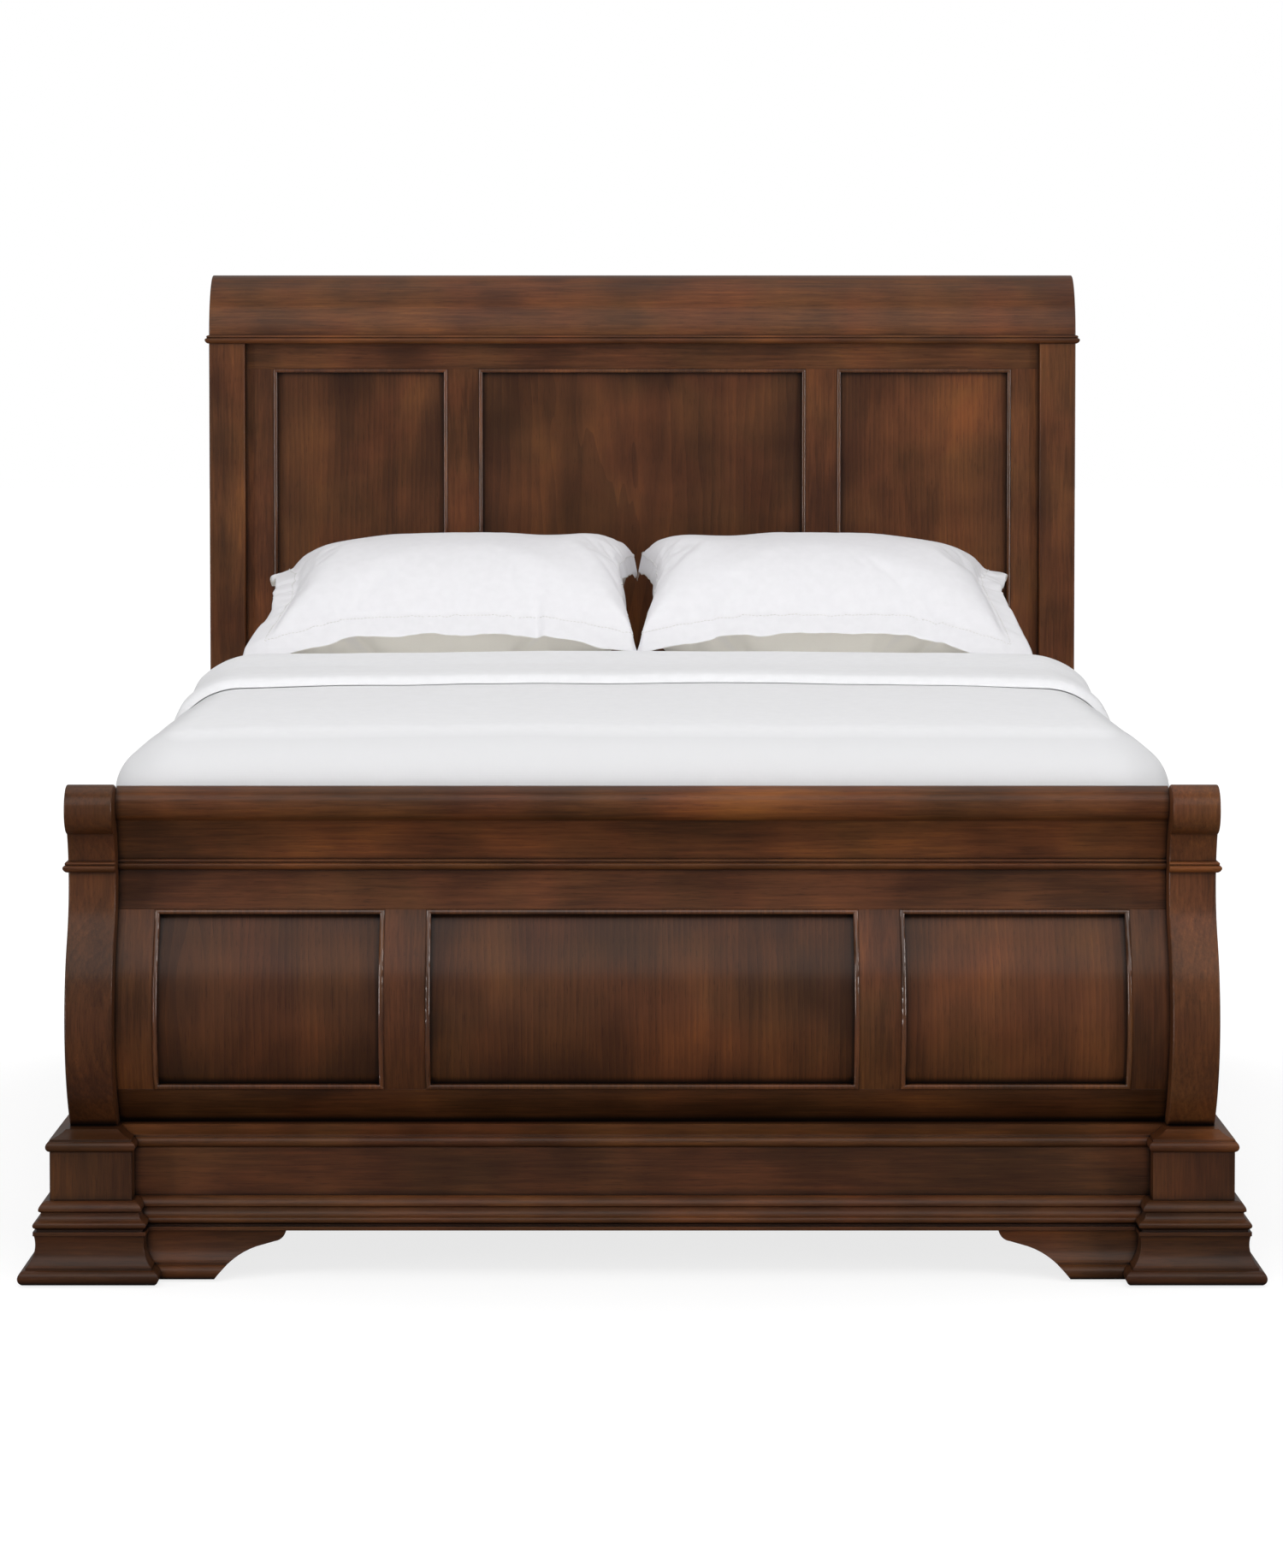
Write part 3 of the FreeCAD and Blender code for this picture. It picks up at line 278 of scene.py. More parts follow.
def zinc_plate(name):
    """Stamped mild steel, zinc plated and passivated: cool grey, softly reflective, faintly clouded."""
    material, tree = new_material(name)
    place = add(tree, "ShaderNodeTexCoord").outputs["Object"]
    cloud = add(tree, "ShaderNodeTexNoise", {"Vector": place, "Scale": 90, "Detail": 4, "Roughness": 0.6})
    spread = add(tree, "ShaderNodeMapRange", {"Value": cloud.outputs["Fac"], "From Min": 0.3, "From Max": 0.7,
                                              "To Min": 0.28, "To Max": 0.48})
    colour = add(tree, "ShaderNodeMix", {"Factor": cloud.outputs["Fac"], 6: linear("#9fa3a6"),
                                         7: linear("#bdbcb2")}, data_type="RGBA")
    eased = add(tree, "ShaderNodeBevel", {"Radius": 0.0004}, samples=4)
    shader = add(tree, "ShaderNodeBsdfPrincipled",
                 {"Base Color": colour.outputs[2], "Metallic": 1.0, "Roughness": spread.outputs[0],
                  "Normal": eased.outputs["Normal"]})
    add(tree, "ShaderNodeOutputMaterial", {"Surface": shader.outputs[0]})
    return material


def moulded_nylon(name):
    """Injection-moulded black nylon with a fine spark texture: near-black, low sheen."""
    material, tree = new_material(name)
    place = add(tree, "ShaderNodeTexCoord").outputs["Object"]
    spark = add(tree, "ShaderNodeTexNoise", {"Vector": place, "Scale": 1400, "Detail": 2})
    colour = add(tree, "ShaderNodeMix", {"Factor": spark.outputs["Fac"], 6: linear("#171615"),
                                         7: linear("#2b2927")}, data_type="RGBA")
    bump = add(tree, "ShaderNodeBump", {"Strength": 0.3, "Distance": 0.0002, "Height": spark.outputs["Fac"]})
    shader = add(tree, "ShaderNodeBsdfPrincipled",
                 {"Base Color": colour.outputs[2], "Roughness": 0.52, "IOR": 1.53,
                  "Normal": bump.outputs["Normal"]})
    add(tree, "ShaderNodeOutputMaterial", {"Surface": shader.outputs[0]})
    return material


# ---------------------------------------------------------------- finishes of the rigid pieces
# every board: the way of its grain, and how light it is drawn; partly stain that took unevenly, partly
# painted shade, the feet, plinths, base and footboard's bottom rail being drawn darker and the crest lighter
BOARDS = {
    "headboard_crest": ("x", 1.26), "headboard_bead": ("x", 1.10), "headboard_top_rail": ("x", 1.10),
    "headboard_bottom_rail": ("x", 0.95),
    "headboard_post_left": ("z", 1.16), "headboard_post_right": ("z", 1.25),
    "headboard_stiles": ("z", 1.30), "headboard_muntins": ("z", 1.06),
    "headboard_panel_mouldings": ("z", 1.10),
    "footboard_roll": ("x", 1.02), "footboard_frieze": ("x", 0.94), "footboard_bead": ("x", 1.0),
    "footboard_top_rail": ("x", 0.92), "footboard_bottom_rail": ("x", 0.62),
    "footboard_post_left": ("z", 0.72), "footboard_post_right": ("z", 1.02),
    "footboard_stiles": ("z", 0.92), "footboard_muntins": ("z", 0.90),
    "footboard_panel_mouldings": ("z", 0.92),
    "base_cap_moulding": ("x", 0.80), "base_fascia": ("x", 0.76), "base_middle_moulding": ("x", 0.74),
    "bracket_feet": ("x", 0.64), "plinth_caps": ("x", 0.70), "plinth_middle_mouldings": ("x", 0.60),
    "plinth_block_left": ("z", 0.50), "plinth_block_right": ("z", 0.60),
    "plinth_foot_left": ("x", 0.44), "plinth_foot_right": ("x", 0.50),
    "side_rail_left": ("y", 0.95), "side_rail_right": ("y", 0.95),
}
# how light each veneered panel is drawn; partly painted shade, the footboard's panels being drawn darker
VENEERS = {
    "headboard_panel_left": 0.98, "headboard_panel_centre": 0.88, "headboard_panel_right": 1.16,
    "footboard_panel_left": 0.70, "footboard_panel_centre": 0.82, "footboard_panel_right": 0.92,
}
BARE_BOARDS = {
    "slat_1": "x", "slat_2": "x", "slat_3": "x", "slat_ledgers": "y", "centre_legs": "z",
    "corner_blocks": "z",
}
POLISHED = ("headboard_panel_mouldings", "footboard_panel_mouldings")
BENT = ("footboard_stiles", "footboard_muntins", "footboard_panel_mouldings")
PLATED = ("rail_hook_plates", "post_slot_plates", "wood_screws", "leveller_inserts",
          "leveller_stem_1", "leveller_stem_2", "leveller_stem_3")
NYLON = ("floor_glides", "leveller_pad_1", "leveller_pad_2", "leveller_pad_3")


def finish_piece(node, material):
    NODES[node].data.materials.clear()
    NODES[node].data.materials.append(material)


seed = 0
for node, (grain, gain) in BOARDS.items():
    seed += 1
    finish_piece(node, wood("stained_cherry_" + node, grain, seed, gain, bent=node in BENT,
                            polish=MOULDING_COAT if node in POLISHED else BOARD_COAT))
for node, gain in VENEERS.items():
    seed += 1
    finish_piece(node, wood("cherry_veneer_" + node, "z", seed, gain, figure=0.10, fleck=0.18,
                            darker_border_box=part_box(node), bent=True))
for node, grain in BARE_BOARDS.items():
    seed += 1
    finish_piece(node, wood("bare_poplar_" + node, grain, seed, bare=True))
plated = zinc_plate("zinc_plated_steel")
nylon = moulded_nylon("black_moulded_nylon")
for node in PLATED:
    finish_piece(node, plated)
for node in NYLON:
    finish_piece(node, nylon)

duvet_cotton = percale("white_percale_duvet", "#efeff1", shaded=True)
fold_cotton = percale("white_percale_turned_down_end", "#eeeef0")
sheet_cotton = percale("white_percale_sheet", "#ebebee")
sham_cotton = percale("white_percale_shams", "#e8e7ea", underside="#fdf9ef")
seam_thread = percale("white_cotton_thread", "#dddcda")
base_ticking = ticking("woven_striped_ticking")


# ---------------------------------------------------------------- soft shapes
def block_grid(low, high, step, sides):
    """The surface of a block as points and quads that face outwards. sides names the faces it has."""
    mesh = bmesh.new()
    for side in sides:
        axis = "xyz".index(side[1])
        a, b = (axis + 1) % 3, (axis + 2) % 3
        along = max(1, round((high[a] - low[a]) / step))
        across = max(1, round((high[b] - low[b]) / step))
        rows = []
        for i in range(along + 1):
            row = []
            for j in range(across + 1):
                point = [0.0] * 3
                point[axis] = high[axis] if side[0] == "+" else low[axis]
                point[a] = low[a] + (high[a] - low[a]) * i / along
                point[b] = low[b] + (high[b] - low[b]) * j / across
                row.append(mesh.verts.new(point))
            rows.append(row)
        for i in range(along):
            for j in range(across):
                quad = [rows[i][j], rows[i + 1][j], rows[i + 1][j + 1], rows[i][j + 1]]
                mesh.faces.new(quad if side[0] == "+" else quad[::-1])
    bmesh.ops.remove_doubles(mesh, verts=mesh.verts, dist=step / 100)
    mesh.verts.index_update()
    points = np.array([v.co for v in mesh.verts], float)
    quads = [[v.index for v in f.verts] for f in mesh.faces]
    mesh.free()
    return points, quads


def rounded(points, inner_low, inner_high, radius, grow=0.0):
    """Each point of a block moved onto a block with round edges: out from the inner block by radius."""
    core = np.clip(points, inner_low, inner_high)
    way = (points - core) / radius
    length = np.linalg.norm(way, axis=1, keepdims=True)
    return core + (radius + np.reshape(grow, (-1, 1))) * way / np.maximum(length, 1e-9)


def piece_from(name, points, faces, material, slot, replaced=(), levels=0):
    """A finished piece on the bed, smooth, with its place in its mesh."""
    mesh = bpy.data.meshes.new(name)
    mesh.from_pydata([tuple(p) for p in points], [], faces)
    mesh.validate()
    piece = bpy.data.objects.new(name, mesh)
    bpy.context.scene.collection.objects.link(piece)
    mesh.shade_smooth()
    mesh.materials.append(material)
    if levels:
        rounder = piece.modifiers.new("rounder", "SUBSURF")
        rounder.levels = rounder.render_levels = levels
    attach(piece, BED)
    if replaced:
        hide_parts(*replaced)
    return piece


def closed_pad(outer, inner, quads):
    """The closed mesh between an outer skin and the inner skin under it, which have the same quads."""
    count = len(outer)
    edges = {}
    for quad in quads:
        for a, b in zip(quad, quad[1:] + quad[:1]):
            edges[(a, b)] = True
    rim = [[b, a, a + count, b + count] for a, b in edges if (b, a) not in edges]
    under = [[v + count for v in reversed(quad)] for quad in quads]
    return np.vstack([outer, inner]), quads + under + rim


def ripples(points, scale, height, seed):
    """Gentle unevenness of stuffed cloth, one number for each point."""
    return np.array([height * noise.noise(Vector(p) * scale + Vector((seed, 0, 0))) for p in points])


# ---------------------------------------------------------------- foundation, mattress and sheet
ALL_SIDES = ("+x", "-x", "+y", "-y", "+z", "-z")
FOUNDATION_GRID = 0.024
MATTRESS_GRID = 0.0105
FOUNDATION_ROUND = np.array([0.040, 0.040, 0.014])
OPEN_ROUND = np.array([0.070, 0.070, 0.050])       # the mattress's edges at its open head
COVERED_ROUND = np.array([0.105, 0.150, 0.100])    # and under the duvet
WAIST = 0.004             # the foundation's border is drawn in by this much at half height
HEM_GATHERS = 0.030       # from one gather of the sheet's elastic hem to the next
HEM_HEIGHT = 0.075        # the gathers fade out this far up the side
PIPING_RADIUS = 0.0038
PIPING_STEP = 0.02
PIPING_INSET = 0.012      # from the foundation's top or underside to the piping


def foundation():
    """Box foundation in ticking, with eased edges and a border drawn in at half height."""
    low, high = (np.array(c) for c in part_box("foundation"))
    radius = FOUNDATION_ROUND
    points, quads = block_grid(low, high, FOUNDATION_GRID, ALL_SIDES)
    points = rounded(points, low + radius, high - radius, radius)
    middle, half = (low + high) / 2, (high - low) / 2
    waist = 1 - smooth_step(np.abs(points[:, 2] - middle[2]) / half[2])
    points[:, :2] -= np.sign(points[:, :2]) * WAIST * waist[:, None] * (np.abs(points[:, :2]) > 0.5)
    pad = piece_from("box_foundation", points, quads, base_ticking, "ticking", ("foundation",), 1)
    return low, high, radius


def piping_tree(name, material):
    """Geometry Nodes: a round cord along a curve."""
    tree = bpy.data.node_groups.new(name, "GeometryNodeTree")
    for label, kind, way in (("Line", "Geometry", "INPUT"), ("Radius", "Float", "INPUT"),
                             ("Spacing", "Float", "INPUT"), ("Cord", "Geometry", "OUTPUT")):
        tree.interface.new_socket(label, in_out=way, socket_type="NodeSocket" + kind)
    given = add(tree, "NodeGroupInput")
    path = add(tree, "GeometryNodeResampleCurve", {"Curve": given.outputs["Line"],
                                                   "Length": given.outputs["Spacing"]}, mode="LENGTH")
    ring = add(tree, "GeometryNodeCurvePrimitiveCircle",
               {"Resolution": 8, "Radius": given.outputs["Radius"]})
    cord = add(tree, "GeometryNodeCurveToMesh",
               {"Curve": path.outputs[0], "Profile Curve": ring.outputs[0]})
    smooth = add(tree, "GeometryNodeSetShadeSmooth", {"Geometry": cord.outputs[0]})
    cloth = add(tree, "GeometryNodeSetMaterial", {"Geometry": smooth.outputs[0], "Material": material})
    whole = add(tree, "GeometryNodeRealizeInstances", {"Geometry": cloth.outputs[0]})
    add(tree, "NodeGroupOutput", {"Cord": whole.outputs[0]})
    return tree


def stitch_tree(name, material):
    """Geometry Nodes: a row of short stitches along a curve."""
    tree = bpy.data.node_groups.new(name, "GeometryNodeTree")
    for label, kind, way in (("Line", "Geometry", "INPUT"), ("Radius", "Float", "INPUT"),
                             ("Spacing", "Float", "INPUT"), ("Stitches", "Geometry", "OUTPUT")):
        tree.interface.new_socket(label, in_out=way, socket_type="NodeSocket" + kind)
    given = add(tree, "NodeGroupInput")
    points = add(tree, "GeometryNodeCurveToPoints", {"Curve": given.outputs["Line"],
                                                     "Length": given.outputs["Spacing"]}, mode="LENGTH")
    length = add(tree, "ShaderNodeMath", {0: given.outputs["Spacing"], 1: 0.66}, operation="MULTIPLY")
    thread = add(tree, "GeometryNodeMeshCylinder", {"Vertices": 6, "Side Segments": 1,
                                                    "Radius": given.outputs["Radius"],
                                                    "Depth": length.outputs[0]}, fill_type="TRIANGLE_FAN")
    row = add(tree, "GeometryNodeInstanceOnPoints", {"Points": points.outputs["Points"],
                                                     "Instance": thread.outputs["Mesh"],
                                                     "Rotation": points.outputs["Rotation"]})
    cloth = add(tree, "GeometryNodeSetMaterial", {"Geometry": row.outputs[0], "Material": material})
    whole = add(tree, "GeometryNodeRealizeInstances", {"Geometry": cloth.outputs[0]})
    add(tree, "NodeGroupOutput", {"Stitches": whole.outputs[0]})
    return tree


def along_line(name, tree, loop, radius, spacing):
    """A closed run of piping or stitches along a loop of points, as a plain mesh on the bed."""
    curve = bpy.data.curves.new(name + "_line", "CURVE")
    curve.dimensions = "3D"
    run = curve.splines.new("POLY")
    run.points.add(len(loop) - 1)
    for spot, point in zip(run.points, loop):
        spot.co = (*point, 1.0)
    run.use_cyclic_u = True
    line = bpy.data.objects.new(name + "_line", curve)
    bpy.context.scene.collection.objects.link(line)
    maker = line.modifiers.new("maker", "NODES")
    maker.node_group = tree
    sockets = {item.name: item.identifier for item in tree.interface.items_tree}
    maker[sockets["Radius"]] = radius
    maker[sockets["Spacing"]] = spacing
    whole = bpy.context.evaluated_depsgraph_get()
    mesh = bpy.data.meshes.new_from_object(line.evaluated_get(whole))
    bpy.data.objects.remove(line)
    piece = bpy.data.objects.new(name, mesh)
    bpy.context.scene.collection.objects.link(piece)
    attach(piece, BED)
    return piece


def rim_loop(low, high, radius, z, out):
    """A rounded rectangle round a block, at one height."""
    loop = []
    for corner in range(4):
        sx, sy = ((1, 1), (-1, 1), (-1, -1), (1, -1))[corner]
        x = (high[0] if sx > 0 else low[0]) - sx * radius[0]
        y = (high[1] if sy > 0 else low[1]) - sy * radius[1]
        for k in range(9):
            turn = math.pi / 2 * (corner + k / 8)
            loop.append((x + (radius[0] + out) * math.cos(turn),
                         y + (radius[1] + out) * math.sin(turn), z))
    return loop


low, high, radius = foundation()
base_piping = piping_tree("foundation_piping", base_ticking)
for label, z in (("top", high[2] - PIPING_INSET), ("bottom", low[2] + PIPING_INSET)):
    along_line("foundation_piping_" + label, base_piping, rim_loop(low, high, radius, z, -0.002),
               PIPING_RADIUS, PIPING_STEP)


def mattress():
    """Innerspring mattress in a fitted sheet: crowned, round at its corners, gathered along its hem."""
    low, high = (np.array(c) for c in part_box("mattress"))
    low = low + np.array([0, 0, 0.001])
    points, quads = block_grid(low, high, MATTRESS_GRID, ALL_SIDES)
    # the duvet presses its foot and sides into a rounder shape than its open head
    pressed = smooth_step((0.45 - points[:, 1:2]) / 0.30)
    radius = OPEN_ROUND * (1 - pressed) + COVERED_ROUND * pressed
    points = rounded(points, low + radius, high - radius, radius)
    middle, half = (low + high) / 2, (high - low) / 2
    away = (points - middle) / half
    edge = np.maximum(np.abs(away[:, 0]), np.abs(away[:, 1]))
    # this lowers a row of points by less than the grid's step, or the side would fold
    points[:, 2] -= np.where(away[:, 2] > 0.5, 0.005 * smooth_step((edge - 0.55) / 0.4), 0.0)
    gathered = 1 - smooth_step((points[:, 2] - low[2]) / HEM_HEIGHT)
    pucker = np.sin((points[:, 0] + points[:, 1]) * 2 * math.pi / HEM_GATHERS) * 0.5 - 0.5
    pucker += ripples(points, 45, 0.8, 3)
    inward = -np.sign(away[:, :2]) * (np.abs(away[:, :2]) > 0.93)
    points[:, :2] += inward * (0.0012 - 0.0022 * pucker * gathered)[:, None]
    points[:, 2] += np.where(away[:, 2] > 0.5, ripples(points, 6, 0.0015, 11), 0.0)
    pad = piece_from("mattress_in_fitted_sheet", points, quads, sheet_cotton, "white_cotton", ("mattress",))


mattress()

# ---------------------------------------------------------------- duvet and its turned-down end
DUVET_LOW, DUVET_HIGH = (np.array(c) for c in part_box("duvet"))
DUVET_ROUND = np.array([0.110, 0.150, 0.100])
DUVET_CORE_LOW = DUVET_LOW + DUVET_ROUND * np.array([1, 1, 0])
DUVET_CORE_HIGH = DUVET_HIGH - DUVET_ROUND * np.array([1, 0, 1])
TUCK = 0.015              # the sides draw in by this much where they are tucked behind the rails
TUCK_FROM = 0.690         # and from this height down
TUCK_FADE = 0.150
CROWN = 0.009             # the top is this much lower at its sides than in its middle
DUVET_SIDE_T = 0.009      # thickness at the sides, and on top
DUVET_TOP_T = 0.014
DUVET_GRID = 0.018
TURNED_GRID = 0.010


def on_duvet(block, grow):
    """Points of the duvet's block moved to its rounded outside, or above it by grow."""
    points = rounded(block, DUVET_CORE_LOW, DUVET_CORE_HIGH, DUVET_ROUND, grow)
    upward = np.clip((block[:, 2] - DUVET_CORE_HIGH[2]) / DUVET_ROUND[2], 0, 1)
    drawn = smooth_step((TUCK_FROM - points[:, 2]) / TUCK_FADE)
    points[:, 0] -= np.sign(points[:, 0]) * TUCK * drawn
    # the filling is fuller in the middle, and settles into shallow hollows
    points[:, 2] -= CROWN * upward * (np.abs(block[:, 0]) / DUVET_HIGH[0]) ** 2.5
    plan = block * np.array([1, 1, 0])
    points[:, 2] += ripples(plan, 3.2, 0.003, 21) + ripples(plan, 9, 0.0010, 5) - 0.0015
    return points


def duvet():
    """The filled cover over the bed: an outer and an inner skin, open at its head and underneath."""
    block, quads = block_grid(DUVET_LOW, DUVET_HIGH, DUVET_GRID, ("+x", "-x", "-y", "+z"))
    outer = on_duvet(block, 0.0)
    core = np.clip(block, DUVET_CORE_LOW, DUVET_CORE_HIGH)
    way = (block - core) / DUVET_ROUND
    way /= np.maximum(np.linalg.norm(way, axis=1, keepdims=True), 1e-9)
    edge = (np.abs(block[:, :1]) / DUVET_HIGH[0]) ** 2.5
    thick = DUVET_SIDE_T + (DUVET_TOP_T - DUVET_SIDE_T) * np.clip(way[:, 2:3], 0, 1) ** 2 * (1 - edge)
    points, faces = closed_pad(outer, outer - way * thick, quads)
    pad = piece_from("duvet_cover", points, faces, duvet_cotton, "white_cotton", ("duvet",), 1)


def turned_down():
    """The duvet's end folded back over it: a flat band that ends in a soft roll."""
    low, high = (np.array(c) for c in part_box("duvet_turndown"))
    start, stop = low[1], high[1]
    low[0], high[0], low[2], high[2] = DUVET_LOW[0], DUVET_HIGH[0], low[2], DUVET_HIGH[2]
    block, quads = block_grid(low, high, TURNED_GRID, ("+x", "-x", "+z"))
    back, up = block[:, 1] - start, block[:, 2] - low[2]
    # the free edge wanders a few millimetres, as cloth does
    sway = ripples(block * np.array([1, 0, 0]), 4, 0.006, 40)
    # the filling is thin at the free edge, full at the fold, and gathers in a low roll 50 mm in
    full = 0.013 + 0.006 * smooth_step(back / 0.16) + 0.011 * smooth_step((back - 0.20) / 0.16)
    full = full + 0.004 * np.exp(-((back - 0.05) / 0.035) ** 2)
    roll = quarter_round(back / 0.020)
    fold = quarter_round((stop - block[:, 1]) / 0.018)
    hem = quarter_round(up / 0.020)
    side = smooth_step((up - 0.02) / 0.09)
    thick = 0.0012 + (full * (0.42 + 0.58 * side)) * roll * fold * hem
    inner = on_duvet(block, 0.0007)
    outer = on_duvet(block, thick)
    pull = (1 - smooth_step(back / 0.12)) * (sway - 0.028 * (block[:, 0] / DUVET_HIGH[0]) ** 2)
    for skin in (inner, outer):
        skin[:, 1] += pull
    points, faces = closed_pad(outer, inner, quads)
    pad = piece_from("duvet_turned_down_end", points, faces, fold_cotton, "white_cotton",
                     ("duvet_turndown",), 1)


duvet()
turned_down()

# ---------------------------------------------------------------- pillows in flanged shams
FLANGE = 0.046
FLANGE_ROWS = 6
POCKET_W = 0.640
POCKET_L = 0.395
POCKET_EASE = 0.045       # the cloth is cut larger than the stuffed pocket by this much
PUFF_ABOVE = 0.084        # crown above the seam
PUFF_BELOW = 0.085
SHAM_STEP = 0.0085
REST_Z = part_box("mattress")[1].z + 0.0025
STUFFING_FRAMES = 22
SEAM_HEIGHT = 0.080       # of the seam above the sheet, at the middle of the front
SEAM_CLIMB = 0.085        # from there to the back
SEAM_BOW = 0.040          # the seam's front corners are lower than its middle by this much
LEAN_LIFT = 0.030         # the end that leans on the other pillow is pushed up by this much
STITCH_RADIUS = 0.0007
STITCH_STEP = 0.0065
STITCH_LIFT = 0.0006      # the stitches' middles lie this much above the cloth


def sham_pocket(width, length, seed):
    """Two cloth panels sewn at their edges, slightly parted, as a closed mesh. Returns points, quads and
    the index of each panel's points by column and row."""
    columns, rows = round(width / SHAM_STEP), round(length / SHAM_STEP)
    points, above, below = [], {}, {}
    for i in range(columns + 1):
        for j in range(rows + 1):
            u, v = 2 * i / columns - 1, 2 * j / rows - 1
            part = 0.012 * (1 - u ** 4) * (1 - v ** 4)
            part += 0.003 * (1 - u * u) * (1 - v * v) * noise.noise(Vector((u * 5 + seed, v * 4, seed)))
            x, y = u * width / 2, v * length / 2
            above[i, j] = len(points)
            points.append((x, y, part))
            if abs(u) == 1 or abs(v) == 1:
                below[i, j] = above[i, j]
            else:
                below[i, j] = len(points)
                points.append((x, y, -part))
    quads = []
    for i in range(columns):
        for j in range(rows):
            ring = [(i, j), (i + 1, j), (i + 1, j + 1), (i, j + 1)]
            quads.append([above[k] for k in ring])
            quads.append([below[k] for k in reversed(ring)])
    return points, quads, above, below, columns, rows


def stuffed(points, quads):
    """Blows the sewn panels up with Cloth, and returns their points once they are still."""
    mesh = bpy.data.meshes.new("stuffing")
    mesh.from_pydata(points, [], quads)
    shell = bpy.data.objects.new("stuffing", mesh)
    bpy.context.scene.collection.objects.link(shell)
    cloth = shell.modifiers.new("cloth", "CLOTH")
    cloth.settings.quality = 6
    cloth.settings.mass = 0.2
    cloth.settings.tension_stiffness = 22
    cloth.settings.compression_stiffness = 18
    cloth.settings.shear_stiffness = 8
    cloth.settings.bending_stiffness = 0.25
    cloth.settings.air_damping = 3
    cloth.settings.use_pressure = True
    cloth.settings.uniform_pressure_force = 5.0
    cloth.settings.effector_weights.gravity = 0
    for step in range(1, STUFFING_FRAMES + 1):
        bpy.context.scene.frame_set(step)
    whole = bpy.context.evaluated_depsgraph_get()
    still = bpy.data.meshes.new_from_object(shell.evaluated_get(whole))
    found = np.array([v.co for v in still.vertices], float)
    bpy.data.objects.remove(shell)
    bpy.data.meshes.remove(still)
    bpy.context.scene.frame_set(1)
    return found


def with_flange(shape, panel, side, seed, columns, rows):
    """One panel of the stuffed pocket with rows of cloth added beyond its seam. Also returns how far each
    point is out across the flange, in X and in Y, from -1 to 1."""
    across = np.arange(-FLANGE_ROWS, columns + FLANGE_ROWS + 1)
    along = np.arange(-FLANGE_ROWS, rows + FLANGE_ROWS + 1)
    i, j = np.clip(across, 0, columns), np.clip(along, 0, rows)
    skin = shape[np.array([[panel[a, b] for b in j] for a in i])]
    out_x = np.repeat(((across - i) / FLANGE_ROWS)[:, None], len(along), axis=1)
    out_y = np.repeat(((along - j) / FLANGE_ROWS)[None, :], len(across), axis=0)
    reach = np.maximum(np.abs(out_x), np.abs(out_y))
    seam = ((i == 0) | (i == columns))[:, None] | ((j == 0) | (j == rows))[None, :]
    skin[..., 0] += FLANGE * out_x
    skin[..., 1] += FLANGE * out_y
    skin[..., 2] += np.where(seam & (reach < 1), side * 0.0016, 0.0)
    for a in range(len(across)):
        for b in range(len(along)):
            x, y, far = i[a] * SHAM_STEP, j[b] * SHAM_STEP, reach[a, b]
            from_end = min(x, (columns * SHAM_STEP) - x)
            from_front = min(y, (rows * SHAM_STEP) - y)
            if seam[a, b]:
                # waves about 70 mm long, and gathers about 13 mm long
                wave = noise.noise(Vector(((x + y) * 15 + seed, far, seed)))
                gather = noise.noise(Vector(((x + y) * 75, far * 1.5, seed + 9)))
                skin[a, b, 2] += 0.005 * far * wave + 0.0042 * gather * (1 - 0.7 * far) * min(1, far * 6)
            else:
                # the seam's gathers run on into the pocket and fade out
                pleat = noise.noise(Vector((x * 70, y * 9, seed + 9))) * math.exp(-from_front / 0.034)
                pleat += noise.noise(Vector((x * 9, y * 70, seed + 4))) * math.exp(-from_end / 0.034)
                skin[a, b, 2] += side * 0.0060 * pleat * min(1, min(from_end, from_front) / 0.012)
    return skin, out_x, out_y


